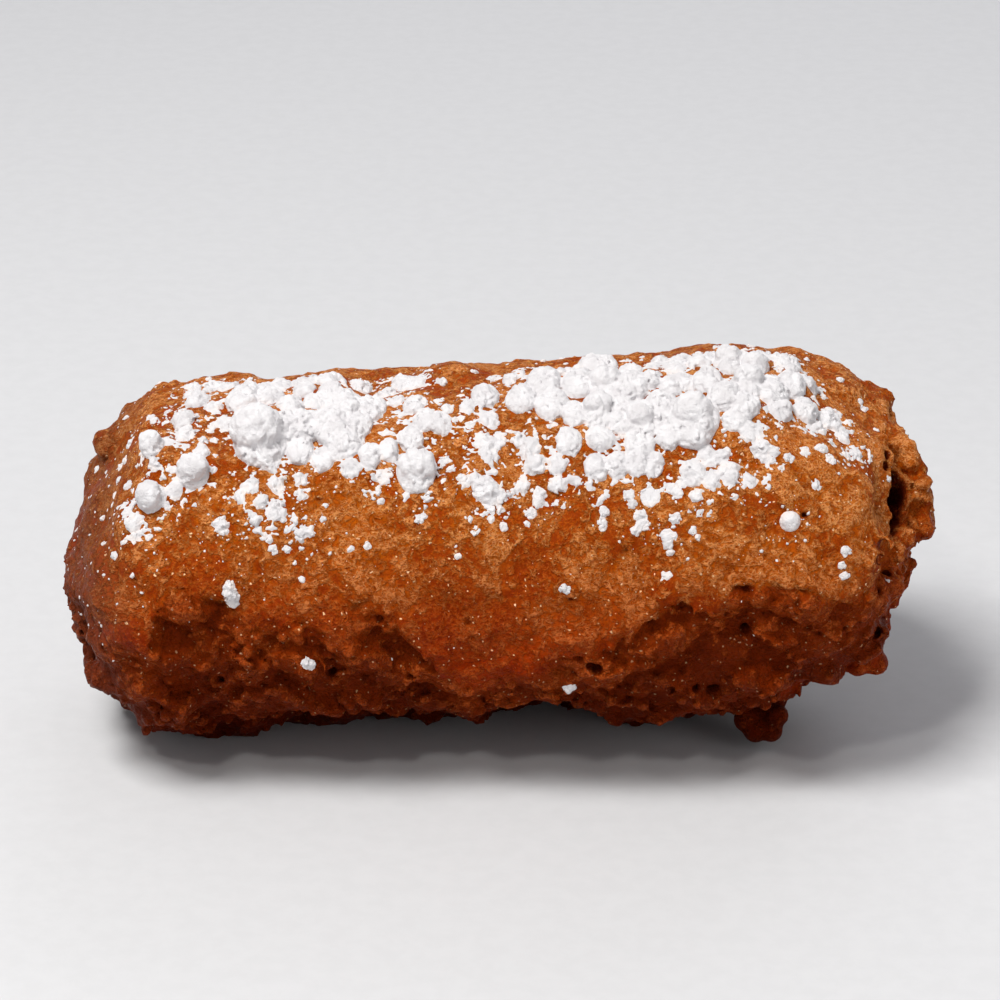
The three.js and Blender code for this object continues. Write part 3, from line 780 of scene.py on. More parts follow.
# Each drift of powdered sugar: the corners of its grid, its clumps as pixels of the photograph with radii in
# its pixels, the round ones that stand higher, and gaps. What lies behind the ridge is given by its stretch
# of the cake, its angles and how many clumps. Then how wide the domes are, how softly the round ones join
# the heap, and how much taller the large ones are.
LEFT_DRIFT = {
    "reach": ((-51, -27, 34), (-3, 10, 57)),
    "clumps": (
        (305, 425, 18), (330, 425, 20), (345, 440, 20), (345, 405, 20), (370, 410, 18), (330, 395, 16),
        (243, 400, 18), (270, 400, 16), (226, 425, 9), (197, 400, 13), (192, 389, 9), (213, 388, 10),
        (183, 420, 12), (185, 436, 10), (250, 388, 11), (280, 388, 12), (305, 390, 12), (360, 388, 13),
        (385, 396, 12), (395, 402, 9), (415, 405, 13), (425, 420, 12), (440, 423, 12), (410, 440, 14),
        (390, 450, 12), (385, 476, 9), (235, 475, 6), (250, 485, 9), (275, 485, 9), (300, 480, 8),
        (240, 497, 7), (262, 502, 8), (276, 510, 11), (255, 520, 7), (300, 495, 6), (155, 465, 8),
        (175, 490, 8), (134, 522, 10), (139, 532, 7), (128, 513, 6), (285, 425, 16), (300, 450, 14),
        (370, 455, 12), (322, 460, 12), (350, 468, 11), (215, 408, 9), (152, 449, 10), (270, 462, 10),
        (203, 452, 7), (357, 425, 16), (318, 405, 16), (290, 405, 15),
    ),
    "round": ((262, 439, 29), (416, 473, 20), (193, 472, 17), (152, 498, 16), (152, 446, 13)),
    "gaps": (
        (211, 441, 8), (222, 470, 8), (240, 478, 6), (330, 478, 7), (455, 404, 5), (400, 430, 4),
        (300, 470, 4), (172, 455, 7), (230, 505, 5),
    ),
    "behind": {"along": (-43, -11), "angles": (97, 107), "count": 22},
    "wide": 0.97,
    "join": 0.2,
    "tall": 1.25,
    "seed": 211,
}
RIGHT_DRIFT = {
    "reach": ((-9, -28, 34), (49, 8, 60)),
    "clumps": (
        (485, 395, 13), (489, 420, 9), (468, 406, 8), (448, 409, 6), (521, 400, 15), (544, 383, 16),
        (510, 381, 7), (552, 406, 16), (580, 386, 18), (593, 366, 14), (631, 386, 17), (623, 417, 18),
        (662, 409, 17), (701, 420, 18), (651, 379, 11), (670, 387, 11), (684, 382, 11), (707, 382, 14),
        (771, 393, 17), (724, 396, 17), (791, 385, 14), (808, 385, 12),
        (805, 411, 13), (830, 420, 11), (842, 437, 8), (856, 454, 6), (752, 434, 10), (760, 448, 9),
        (774, 451, 6), (597, 468, 12), (617, 465, 12), (637, 462, 12), (653, 465, 11), (569, 442, 12),
        (558, 465, 10), (535, 465, 10), (530, 448, 10), (519, 442, 8), (485, 442, 9), (490, 456, 8),
        (499, 440, 7), (524, 485, 7), (538, 496, 8), (558, 485, 9), (575, 479, 7), (592, 485, 7),
        (485, 489, 12), (497, 497, 8), (476, 480, 7), (693, 473, 11), (710, 456, 10), (721, 454, 10),
        (729, 473, 10), (749, 482, 8), (712, 482, 8), (696, 496, 6), (735, 420, 12), (600, 440, 14),
        (640, 445, 14), (575, 415, 13), (668, 435, 12), (780, 410, 12), (818, 428, 9), (745, 405, 14),
    ),
    "round": (
        (691, 422, 24), (642, 422, 19), (608, 389, 19), (597, 414, 17), (749, 386, 17), (729, 364, 15),
        (752, 369, 15),
    ),
    "gaps": (
        (513, 421, 7), (575, 469, 7), (683, 402, 6), (565, 378, 4), (560, 420, 4), (720, 445, 7),
        (640, 365, 8), (610, 352, 8), (700, 368, 6), (737, 456, 6), (790, 440, 8), (545, 432, 4),
        (508, 452, 5), (668, 470, 4),
    ),
    "behind": {"along": (7, 38), "angles": (93, 102), "count": 20},
    "wide": 1.1,
    "join": 0.6,
    "tall": 1.75,
    "seed": 223,
}

# How thick the sugar lies, in millimetres: a dome on each clump, then a thin skirt that breaks into lace. The
# round and the large ones also have a ball, raised or sunk by a share of its radius.
SHEET = {"least": 0.25, "share": 0.41, "skirt": 0.08, "beyond": 1.2}
CLUMP = {"small_wider": 0.2, "large": (1.1, 1.8), "large_steeper": 0.5, "on_top": (0.6, 0.95), "longer": 0.6}
CLUMP_BALL = {"lift": -0.5, "round_lift": 0.4, "share": 0.86, "least": 1.5, "soft": 0.6}
CLUMP_UNEVEN = (0.92, 1.08)
GAP = {"depth": 1.3, "ball_depth": 0.8, "reach": 2}
BEHIND_RADIUS = (0.7, 1.7)

# The sugar's relief, as spacings, heights and seeds: lace at the edges, and billows where it lies thick.
LACE_NOISE = ((2.3, 0.26, 151), (1.05, 0.32, 157), (0.5, 0.3, 159))
LACE_BIAS = 0.17
BILLOWS = ((2.4, 0.34, 163), (1.2, 0.3, 167), (0.6, 0.14, 173))
BILLOW = {"crease": 0.07, "thick": (0.1, 0.8), "ball_share": 0.6}

# The sugar's grid: its cell as a share of the crust's, its farthest distance and how near that is worked out,
# how softly domes and balls join, how deep the sugar goes into the crust, and the smallest crumb that is kept
# as a share of the drift's points.
SUGAR_CELL = 0.35
SUGAR_FAR = 1.6
SUGAR_NEAR = 0.9
SUGAR_SOFT = 0.25
BURIED = {"depth": 0.3, "soft": 0.05, "most": 1}
LEAST_CRUMB = 0.0003
DAMP_BELOW = (0.1, 0.45)
SUGAR_TRIANGLES = 190000

# Loose lumps of sugar: pixel of the photograph and radius in its pixels.
LOOSE_LUMPS = (
    (229, 587, 6), (230, 592, 6.6), (232, 597, 6.6), (233, 602, 5), (790, 521, 8.4), (816, 485, 4.5),
    (565, 589, 4.2), (666, 576, 5),
    (846.6, 551.4, 4.5), (841.8, 566, 3.5), (844.7, 575, 4), (306, 663, 4.5), (311, 664, 4.5),
    (569, 688.5, 5),
    (221, 524, 7), (224, 531, 5), (301, 536, 6), (307, 531, 6), (427, 498, 5), (425, 507, 3), (420, 519, 5),
    (458, 556.5, 2.5), (475.7, 530.7, 3.5), (491, 519.6, 3), (502.4, 526.5, 4), (492, 509.7, 3.5),
    (500.5, 510.6, 4), (530, 513.5, 5), (527.3, 525.3, 2.5), (470, 519.6, 2.5), (602, 498.6, 3),
    (604, 512.5, 4.5), (601.5, 522, 4), (601.5, 528, 3.5), (628, 496, 5), (632, 503, 4), (641, 515, 5),
    (642, 524, 6), (636, 531, 4), (650.7, 498, 8), (672, 489, 6), (678, 493, 6), (675.6, 520, 5),
    (669, 536, 6), (668, 544, 5), (670.3, 551.7, 3), (692.5, 531, 3.5), (698, 537, 2.5), (710.7, 502, 3),
    (733.7, 497.4, 3), (781.5, 468.7, 3), (789.2, 458.6, 4.5), (764, 459, 4), (771, 460, 4),
    (805.5, 452.4, 4.5), (820, 448.6, 4), (824, 449, 4), (830.3, 460, 5), (846.6, 456.3, 5),
    (855.2, 455.3, 6), (888.7, 479.2, 3), (886.8, 581.2, 2.5), (350, 549, 3), (367, 546, 3),
    (302, 578.5, 3), (294.6, 562.6, 2), (273.7, 550, 4), (286.5, 549, 3), (302, 548, 2.5), (269.7, 540, 3),
    (133, 575, 2.5), (115, 555.6, 3.5), (125.4, 542, 2.5), (104.8, 544, 3), (325.7, 505.8, 2.5),
    (322.9, 519, 2.5), (378, 489, 3), (378, 493, 3), (381, 502, 3), (131, 443, 5), (126, 460, 4),
    (121, 467, 4), (119, 480, 4), (128, 486, 5), (115, 495, 3), (112, 505, 3), (104, 518, 2.5),
    (97, 470, 3), (107, 472, 2), (126, 418, 3), (150, 418, 5), (155, 421, 4), (163, 440, 3),
    (212, 427, 4), (203, 441, 5), (214, 441, 4), (212, 470, 4), (171, 470, 4), (159, 382, 3),
    (209, 379, 3), (442, 383, 5), (437, 401, 3), (474, 372, 4), (492, 380, 5), (562, 357, 3.5),
    (565, 364, 2.5), (667, 371, 3), (676, 368, 3), (750, 347, 3.5), (807, 360, 2.5), (840, 380, 3.5),
    (780, 368, 3), (796, 371, 3), (860, 402, 3), (864, 410, 3.5), (876, 430, 3), (470, 426, 4),
    (455, 420, 3), (445, 461, 5), (452, 470, 4), (462, 478, 4.5), (473, 479, 2.5), (545, 347, 2.5),
)
TOUCHING = 0.9

# A flake's dome and grid, and how much taller and smoother the large lumps are.
FLAKE = {"least": 0.16, "height": 0.3, "wide": 1.2, "sunk": 0.15, "far": 1.0}
FLAKE_GRID = {"cell": (0.06, 0.14), "share": 0.12, "margin": 0.4}
FLAKE_NOISE = ((1.2, 0.2, 181), (0.55, 0.24, 191), (0.28, 0.13, 193))
LARGE_LUMP = {"taller": 2, "tall": (1.0, 1.25), "smoother": 0.75, "smooth": (0.8, 1.15)}

# Fine dust of sugar: points tried, radii, how near to a clump it lies, the heights above the axis between
# which it grows full, and the patches that it lies in, as spacing, octaves and seed.
DUST = {"tried": 60000, "radius": (0.06, 0.3), "reach": 1.3, "height": (-8, 6), "seed": 131}
DUST_MOSTLY_SMALL = 3
DUST_PATCHES = {"noise": (3.5, 3, 139), "limits": (-0.25, 0.35)}
DUST_GRAIN = {"flatness": 0.7, "unevenness": 0.3, "wave": 0.3, "rounds": 1, "sunk": 0.25, "seed": 9}
DUST_LEFT_END = {"from": -40.0, "to": -47.0, "share": 0.14}
DUST_ALL_OVER = 0.008
DUST_LEAST_CLUMP = 0.7
DUST_MARGIN = 1
DUST_CLEAR = -0.05

# How a grain of dust may tilt and stretch, in radians and shares, and how rough it is.
GRAIN_TILT = (0.5, 0.5, 2 * math.pi)
GRAIN_STRETCH = ((0.75, 0.9, 0.8), (1.1, 1.35, 1.15))
GRAIN_DETAIL, GRAIN_GAIN = 2.0, 4.0


def clumps_of(crust, drift, random):
    """The places, ways out, radii and lifts of a drift's clumps."""
    given = np.array(drift["clumps"] + drift["round"], float)
    spots, out = seen(crust, given)
    radii = given[:, 2] * PIXEL
    lifts = np.full(len(given), CLUMP_BALL["lift"])
    lifts[len(drift["clumps"]):] = CLUMP_BALL["round_lift"]
    behind = drift["behind"]
    x = random.uniform(*behind["along"], behind["count"])
    hidden = crust.settle(form_points(x, random.uniform(*behind["angles"], behind["count"])))
    spots = np.vstack([spots, hidden])
    out = np.vstack([out, crust.outward(hidden)])
    radii = np.concatenate([radii, random.uniform(*BEHIND_RADIUS, behind["count"])])
    lifts = np.concatenate([lifts, np.full(behind["count"], CLUMP_BALL["lift"])])
    return spots, out, radii, lifts


def layered(p, layers):
    """Noise of several spacings, heights and seeds."""
    return sum(height * noise(p, spacing, seed) for spacing, height, seed in layers)


def billows(p, layers):
    """Rounded swells with creases between them."""
    total = 0
    for spacing, height, seed in layers:
        total = total + height * (2 * np.hypot(noise(p, spacing, seed), BILLOW["crease"]) - 0.5)
    return total


def pile_clump(sugar, sheet, drift, random, centre, way, radius, lift):
    """A clump: a dome with a thin skirt in the sheet, and a ball in the sugar if it is round or large."""
    long = np.array((1, 1 + CLUMP["longer"] * smooth(*CLUMP["on_top"], way[2]), 1))
    large = smooth(*CLUMP["large"], radius)
    wide = (drift["wide"] + CLUMP["small_wider"] * (1 - large)) * radius * long
    window, (x, y, z) = sugar.window(centre, wide + SHEET["beyond"])
    away = (x / wide[0]) ** 2 + (y / wide[1]) ** 2 + (z / wide[2]) ** 2
    height = SHEET["least"] + SHEET["share"] * radius * (1 + (drift["tall"] - 1) * large)
    dome = height * np.sign(1 - away) * np.abs(1 - away) ** (1 - CLUMP["large_steeper"] * large)
    skirt = SHEET["skirt"] * (1 - away / ((wide.min() + SHEET["beyond"]) / wide.min()) ** 2)
    sheet[window] = np.maximum(sheet[window], np.maximum(dome, skirt))
    if lift > 0 or radius > CLUMP_BALL["least"]:
        half = CLUMP_BALL["share"] * radius * random.uniform(*CLUMP_UNEVEN, 3) * (1 if lift > 0 else long)
        soft = drift["join"] if lift > 0 else CLUMP_BALL["soft"]
        sugar.ball(centre + way * lift * radius, 0, soft, half=half)


def sculpt_drift(crust, drift):
    """A drift of powdered sugar on the crust, with its height over the crust on the same grid."""
    random = np.random.default_rng(drift["seed"])
    sugar = Volume(*drift["reach"], crust.voxel * SUGAR_CELL, SUGAR_FAR)
    ground = crust.resampled(sugar)
    sheet = np.full(sugar.values.shape, -1, np.float32)
    for clump in zip(*clumps_of(crust, drift, random)):
        pile_clump(sugar, sheet, drift, random, *clump)
    gaps = np.array(drift["gaps"], float)
    for spot, radius in zip(seen(crust, gaps)[0], gaps[:, 2] * PIXEL):
        window, (x, y, z) = sugar.window(spot, np.full(3, GAP["reach"] * radius))
        fall = GAP["depth"] * np.exp(-(x**2 + y**2 + z**2) / radius**2)
        sheet[window] -= fall
        sugar.values[window] += GAP["ball_depth"] * fall
    near = np.minimum(sugar.values, ground - sheet) < SUGAR_NEAR * SUGAR_FAR
    chosen = np.nonzero(near & (ground > -BURIED["most"]))
    p = sugar.points(chosen)
    over = ground[chosen]
    swell = billows(p, BILLOWS)
    thick = sheet[chosen]
    cover = over - thick - layered(p, LACE_NOISE) - swell * smooth(*BILLOW["thick"], thick) + LACE_BIAS
    value = soft_min(sugar.values[chosen] - BILLOW["ball_share"] * swell, cover, SUGAR_SOFT)
    sugar.values[:] = SUGAR_FAR
    sugar.values[chosen] = soft_max(value, -over - BURIED["depth"], BURIED["soft"])
    return sugar, ground


def touching(lumps):
    """Groups of lumps that touch in the photograph, as lists of their numbers."""
    left, groups = list(range(len(lumps))), []
    while left:
        group = [left.pop(0)]
        for i in group:
            x, y, r = lumps[i]
            near = [j for j in left if math.dist(lumps[j][:2], (x, y)) < TOUCHING * (lumps[j][2] + r)]
            group += near
            left = [j for j in left if j not in near]
        groups.append(group)
    return groups


def sculpt_flakes(crust, spots, sizes, groups):
    """Points and faces of the loose lumps and flakes of sugar, each sculpted on a small grid of its own."""
    points, faces, count = [], [], 0
    for group in groups:
        centres, radii = spots[group], sizes[group]
        reach = (FLAKE["wide"] * radii + FLAKE_GRID["margin"])[:, None]
        cell = float(np.clip(FLAKE_GRID["share"] * radii.mean(), *FLAKE_GRID["cell"]))
        flake = Volume((centres - reach).min(axis=0), (centres + reach).max(axis=0), cell, FLAKE["far"])
        chosen = np.nonzero(flake.values > 0)
        p = flake.points(chosen)
        over = crust.sample(p)
        thick = np.full(len(p), -1.0)
        for centre, radius in zip(centres, radii):
            away = ((p - centre) ** 2).sum(axis=1) / (FLAKE["wide"] * radius) ** 2
            tall = 1 + LARGE_LUMP["taller"] * smooth(*LARGE_LUMP["tall"], radius)
            thick = np.maximum(thick, (FLAKE["least"] + FLAKE["height"] * radius * tall) * (1 - away))
        uneven = 1 - LARGE_LUMP["smoother"] * smooth(*LARGE_LUMP["smooth"], radii.mean())
        thick += layered(p, FLAKE_NOISE) * uneven
        flake.values[chosen] = np.maximum(over - thick, -over - FLAKE["sunk"])
        for side in (0, -1):
            flake.values[side] = flake.values[:, side] = flake.values[:, :, side] = FLAKE["far"]
        new_points, new_faces = flake.surface()
        points.append(new_points)
        faces += [tuple(i + count for i in face) for face in new_faces]
        count += len(new_points)
    return np.vstack(points), faces


def dust_spots(crust, drifts, clumps, most):
    """Places of the finest grains: thick around the clumps and at the left end, thin over the rest."""
    random = np.random.default_rng(DUST["seed"])
    spots = scattered(DUST["tried"], random)
    height = spots[:, 2] - axis_height(spots[:, 0])
    spots = crust.settle(spots[height > DUST["height"][0]])
    height = spots[:, 2] - axis_height(spots[:, 0])
    gap = np.full(len(spots), np.inf)
    for centre, radius in clumps:
        if radius < DUST_LEAST_CLUMP:
            continue
        gap = np.minimum(gap, np.linalg.norm(spots - centre, axis=1) - radius)
    near = np.exp(-np.maximum(gap, 0) / DUST["reach"])
    left = DUST_LEFT_END["share"] * smooth(-DUST_LEFT_END["from"], -DUST_LEFT_END["to"], -spots[:, 0])
    patches = fractal(spots.astype(np.float32), *DUST_PATCHES["noise"])
    chance = (near + left) * smooth(*DUST_PATCHES["limits"], patches) + DUST_ALL_OVER
    chance *= smooth(*DUST["height"], height)
    clear = np.ones(len(spots), bool)
    for sugar in drifts:
        low = sugar.first * sugar.voxel + DUST_MARGIN
        high = (sugar.first + sugar.values.shape) * sugar.voxel - DUST_MARGIN
        inside = (spots > low).all(axis=1) & (spots < high).all(axis=1)
        clear &= ~(inside & (sugar.sample(spots) < DUST_CLEAR))
    spots = spots[clear & (random.random(len(spots)) < chance)][:most]
    small, large = DUST["radius"]
    return spots, small + (large - small) * random.random(len(spots)) ** DUST_MOSTLY_SMALL


def mesh_object(name, points, faces, material):
    """A smooth mesh object, its place in its mesh, in metres."""
    mesh = bpy.data.meshes.new(name)
    mesh.from_pydata(to_metres(points).tolist(), [], faces)
    mesh.shade_smooth()
    mesh.materials.append(material)
    made = bpy.data.objects.new(name, mesh)
    bpy.context.scene.collection.objects.link(made)
    return made


def applied(made):
    """Turns an object with modifiers into its plain result."""
    graph = bpy.context.evaluated_depsgraph_get()
    graph.update()
    mesh = bpy.data.meshes.new_from_object(made.evaluated_get(graph))
    made.modifiers.clear()
    old, made.data = made.data, mesh
    mesh.name = made.name
    bpy.data.meshes.remove(old)
    return made


def thinned(made, triangles):
    """Merges faces where the surface is plainest, down to a number of triangles."""
    made.data.calc_loop_triangles()
    share = triangles / len(made.data.loop_triangles)
    if share < 1:
        modifier = made.modifiers.new("thin", "DECIMATE")
        modifier.ratio = share
        applied(made)
        made.data.shade_smooth()
    return made


def vertex_places(made):
    """An object's vertices in the part's own millimetres."""
    flat = np.empty(len(made.data.vertices) * 3)
    made.data.vertices.foreach_get("co", flat)
    return flat.reshape(-1, 3) * 1000 - FORM_SHIFT


def write_attribute(made, name, values):
    attribute = made.data.attributes.new(name, "FLOAT", "POINT")
    attribute.data.foreach_set("value", np.asarray(values, np.float32))
    return attribute


def point_object(name, spots, out, sizes):
    """Bare points with a size and a way out each, for the tree of lumps."""
    mesh = bpy.data.meshes.new(name)
    mesh.from_pydata(to_metres(spots).tolist(), [], [])
    made = bpy.data.objects.new(name, mesh)
    bpy.context.scene.collection.objects.link(made)
    write_attribute(made, "size", sizes / 1000)
    way = mesh.attributes.new("out", "FLOAT_VECTOR", "POINT")
    way.data.foreach_set("vector", out.astype(np.float32).ravel())
    return made


def lumps_tree():
    """Puts a small uneven lump on each point, with its own size and turn."""
    tree = bpy.data.node_groups.new("lumps on points", "GeometryNodeTree")
    tree.interface.new_socket("Geometry", in_out="INPUT", socket_type="NodeSocketGeometry")
    sockets = (("Flatness", "Float"), ("Unevenness", "Float"), ("Wave", "Float"), ("Rounds", "Int"),
               ("Seed", "Int"), ("Material", "Material"))
    for name, kind in sockets:
        tree.interface.new_socket(name, in_out="INPUT", socket_type="NodeSocket" + kind)
    tree.interface.new_socket("Geometry", in_out="OUTPUT", socket_type="NodeSocketGeometry")
    given = add(tree, "NodeGroupInput").outputs
    points = add(tree, "GeometryNodeMeshToPoints", {"Mesh": given["Geometry"]}).outputs["Points"]
    ball = add(tree, "GeometryNodeMeshIcoSphere", {"Radius": 1.0, "Subdivisions": given["Rounds"]})
    size = add(tree, "GeometryNodeInputNamedAttribute", {"Name": "size"}, data_type="FLOAT")
    way = add(tree, "GeometryNodeInputNamedAttribute", {"Name": "out"}, data_type="FLOAT_VECTOR")
    seed = given["Seed"]
    spins = {0: (0, 0, 0), 1: GRAIN_TILT, "Seed": seed}
    spin = add(tree, "FunctionNodeRandomValue", spins, data_type="FLOAT_VECTOR")
    turn = add(tree, "FunctionNodeEulerToRotation", {0: spin.outputs[0]}).outputs[0]
    turned = {"Rotation": turn, "Vector": way.outputs[0]}
    turn = add(tree, "FunctionNodeAlignRotationToVector", turned, axis="Z")
    stretches = {0: GRAIN_STRETCH[0], 1: GRAIN_STRETCH[1], "Seed": seed}
    stretch = add(tree, "FunctionNodeRandomValue", stretches, data_type="FLOAT_VECTOR")
    flat = add(tree, "ShaderNodeCombineXYZ", {0: 1.0, 1: 1.0, 2: given["Flatness"]}).outputs[0]
    scale = add(tree, "ShaderNodeVectorMath", {0: stretch.outputs[0], 1: flat}, operation="MULTIPLY")
    scale = {0: scale.outputs[0], "Scale": size.outputs[0]}
    scale = add(tree, "ShaderNodeVectorMath", scale, operation="SCALE").outputs[0]
    placed = add(tree, "GeometryNodeInstanceOnPoints", {
        "Points": points, "Instance": ball.outputs["Mesh"], "Rotation": turn.outputs[0], "Scale": scale})
    solid = add(tree, "GeometryNodeRealizeInstances", {"Geometry": placed.outputs[0]}).outputs[0]
    pace = maths(tree, "DIVIDE", 1.0, given["Wave"])
    rough = add(tree, "ShaderNodeTexNoise", {"Scale": pace, "Detail": GRAIN_DETAIL}).outputs["Fac"]
    strength = maths(tree, "MULTIPLY", given["Unevenness"], GRAIN_GAIN)
    push = maths(tree, "MULTIPLY", maths(tree, "SUBTRACT", rough, 0.5), strength)
    push = maths(tree, "MULTIPLY", push, size.outputs[0])
    normal = add(tree, "GeometryNodeInputNormal").outputs[0]
    offset = add(tree, "ShaderNodeVectorMath", {0: normal, "Scale": push}, operation="SCALE").outputs[0]
    moved = add(tree, "GeometryNodeSetPosition", {"Geometry": solid, "Offset": offset}).outputs[0]
    soft = add(tree, "GeometryNodeSetShadeSmooth", {"Geometry": moved}).outputs[0]
    covered = add(tree, "GeometryNodeSetMaterial", {"Geometry": soft, "Material": given["Material"]})
    add(tree, "NodeGroupOutput", {"Geometry": covered.outputs[0]})
    return tree


def lumps_object(name, crust, spots, sizes, values, material):
    """Lumps of sugar that sit on the crust, as one plain mesh."""
    out = crust.outward(spots)
    made = point_object(name, spots - out * (sizes * values["sunk"])[:, None], out, sizes)
    tree = bpy.data.node_groups.get("lumps on points") or lumps_tree()
    modifier = made.modifiers.new("lumps", "NODES")
    modifier.node_group = tree
    inputs = {key.capitalize(): value for key, value in values.items()}
    inputs.update({"Wave": values["wave"] / 1000, "Material": material})
    for socket in tree.interface.items_tree:
        if socket.in_out == "INPUT" and socket.name in inputs:
            modifier[socket.identifier] = inputs[socket.name]
    applied(made)
    for left_over in ("size", "out"):
        if left_over in made.data.attributes:
            made.data.attributes.remove(made.data.attributes[left_over])
    return made


# Shader building blocks.
def add(tree, kind, inputs=None, **settings):
    """A node with its settings made, and its inputs set or linked."""
    made = tree.nodes.new(kind)
    for name, value in settings.items():
        setattr(made, name, value)
    for key, value in (inputs or {}).items():
        if isinstance(value, bpy.types.NodeSocket):
            tree.links.new(value, made.inputs[key])
        else:
            made.inputs[key].default_value = value
    return made


def maths(tree, operation, a, b=0.0, c=0.0):
    return add(tree, "ShaderNodeMath", {0: a, 1: b, 2: c}, operation=operation).outputs[0]


def sum_of(tree, *terms):
    """The sum of (value, weight) pairs."""
    result = 0.0
    for value, weight in terms:
        result = maths(tree, "MULTIPLY_ADD", value, weight, result)
    return result


def ramp(tree, value, low, high, start=0.0, end=1.0):
    """An eased step of a value between two limits."""
    inputs = {"Value": value, "From Min": low, "From Max": high, "To Min": start, "To Max": end}
    return add(tree, "ShaderNodeMapRange", inputs, interpolation_type="SMOOTHSTEP").outputs["Result"]


def times(tree, a, b):
    return maths(tree, "MULTIPLY", a, b)


def blended(tree, share, a, b, how="MIX"):
    return add(tree, "ShaderNodeMix", {0: share, 6: a, 7: b}, data_type="RGBA", blend_type=how).outputs[2]


def tinted(tree, colour, share, low, high):
    """A colour times a tint that passes from one to another."""
    return blended(tree, 1.0, colour, blended(tree, share, (*low, 1), (*high, 1)), "MULTIPLY")


def noise_of(tree, place, spacing, detail, rough=0.5, warp=0.0):
    inputs = {"Vector": place, "Scale": 1 / spacing, "Detail": detail, "Roughness": rough, "Distortion": warp}
    return add(tree, "ShaderNodeTexNoise", inputs).outputs["Fac"]


def millimetres(tree):
    """Object coordinates in millimetres."""
    where = add(tree, "ShaderNodeTexCoord").outputs["Object"]
    return add(tree, "ShaderNodeVectorMath", {0: where, "Scale": 1000.0}, operation="SCALE").outputs["Vector"]


def attribute_of(tree, name):
    return add(tree, "ShaderNodeAttribute", attribute_name=name).outputs["Fac"]


def new_material(name, surface):
    """A material with the fixed values of its surface set."""
    material = bpy.data.materials.new(name)
    material.use_nodes = True
    tree = material.node_tree
    shader = tree.nodes["Principled BSDF"]
    for socket, value in surface.items():
        shader.inputs[socket].default_value = value
    return material, tree, shader


def bumped(tree, height, *sockets):
    """Lets a height in millimetres turn the light at the given sockets."""
    bump = add(tree, "ShaderNodeBump", {"Strength": 1.0, "Distance": 0.001, "Height": height})
    for socket in sockets:
        tree.links.new(bump.outputs["Normal"], socket)


def shader_group(name, inputs, outputs):
    """An empty shader group with named sockets, and its two end nodes."""
    tree = bpy.data.node_groups.new(name, "ShaderNodeTree")
    for socket, kind, value in inputs:
        made = tree.interface.new_socket(socket, in_out="INPUT", socket_type=kind)
        if value is not None:
            made.default_value = value
    for socket, kind in outputs:
        tree.interface.new_socket(socket, in_out="OUTPUT", socket_type=kind)
    return tree, add(tree, "NodeGroupInput"), add(tree, "NodeGroupOutput")


def grain_group():
    """Fine uneven grain of a given size, as a height from 0 to 1, used by the sugar and the floor."""
    if "fine grain" in bpy.data.node_groups:
        return bpy.data.node_groups["fine grain"]
    sockets = [("Place", "NodeSocketVector", None), ("Size", "NodeSocketFloat", 1.0)]
    tree, given, result = shader_group("fine grain", sockets, [("Height", "NodeSocketFloat")])
    pace = maths(tree, "DIVIDE", 1.0, given.outputs["Size"])
    inputs = {"Vector": given.outputs["Place"], "Scale": pace}
    inputs.update({"Detail": FINE_GRAIN["detail"], "Roughness": FINE_GRAIN["rough"]})
    rough = add(tree, "ShaderNodeTexNoise", inputs).outputs["Fac"]
    height = ramp(tree, rough, *FINE_GRAIN["limits"])
    tree.links.new(height, result.inputs["Height"])
    return tree


def grain_of(tree, place, size):
    made = add(tree, "ShaderNodeGroup", {"Place": place, "Size": size}, node_tree=grain_group())
    return made.outputs["Height"]


def contour(tree, field, width):
    """Thin curly lines along the middle level of a noise field."""
    away = maths(tree, "ABSOLUTE", maths(tree, "SUBTRACT", field, 0.5))
    return ramp(tree, away, width, LINE_CORE * width)


def flecks_of(tree, place, spacing, radius, share):
    """Separate small specks on a share of the cells of a pattern."""
    cells = add(tree, "ShaderNodeTexVoronoi", {"Vector": place, "Scale": 1 / spacing}, feature="F1").outputs
    drawn = add(tree, "ShaderNodeSeparateColor", {0: cells["Color"]}).outputs
    chosen = maths(tree, "LESS_THAN", drawn[0], share)
    more, least = (size * radius / spacing for size in FLECK_SIZES)
    reach = maths(tree, "MULTIPLY_ADD", drawn[1], more, least)
    inside = ramp(tree, maths(tree, "DIVIDE", cells["Distance"], reach), *FLECK_EDGE)
    return maths(tree, "MULTIPLY", inside, chosen)


# The crust's noise patterns, as spacing in millimetres, detail, roughness and warp, and its mesh's own marks.
CRUST_PATTERNS = {
    "wide": (12, 3, 0.55, 0.4), "middle": (3.8, 5, 0.65, 0.7), "small": (1.1, 4, 0.65, 0.5),
    "fine": (0.42, 4, 0.75, 0.5),
}
CRUST_MARKS = ("skin", "below", "ridge", "hollow")

# What shakes the curls, strands and flecks, how the strands are turned and stretched, and how far apart and
# wide all three are.
SHAKE = {"scale": 1.2, "detail": 2.0, "by": (0.9, 0.9, 0.9)}
STRAND_TURN = (0.5, 0.6, 0.4)
STRAND_STRETCH = (0.4, 1.0, 1.0)
CURLS, STRANDS = {"spacing": 0.8, "width": 0.06}, {"spacing": 0.45, "width": 0.08}
FLECKS = {"spacing": 0.75, "radius": 0.17, "share": 0.35}
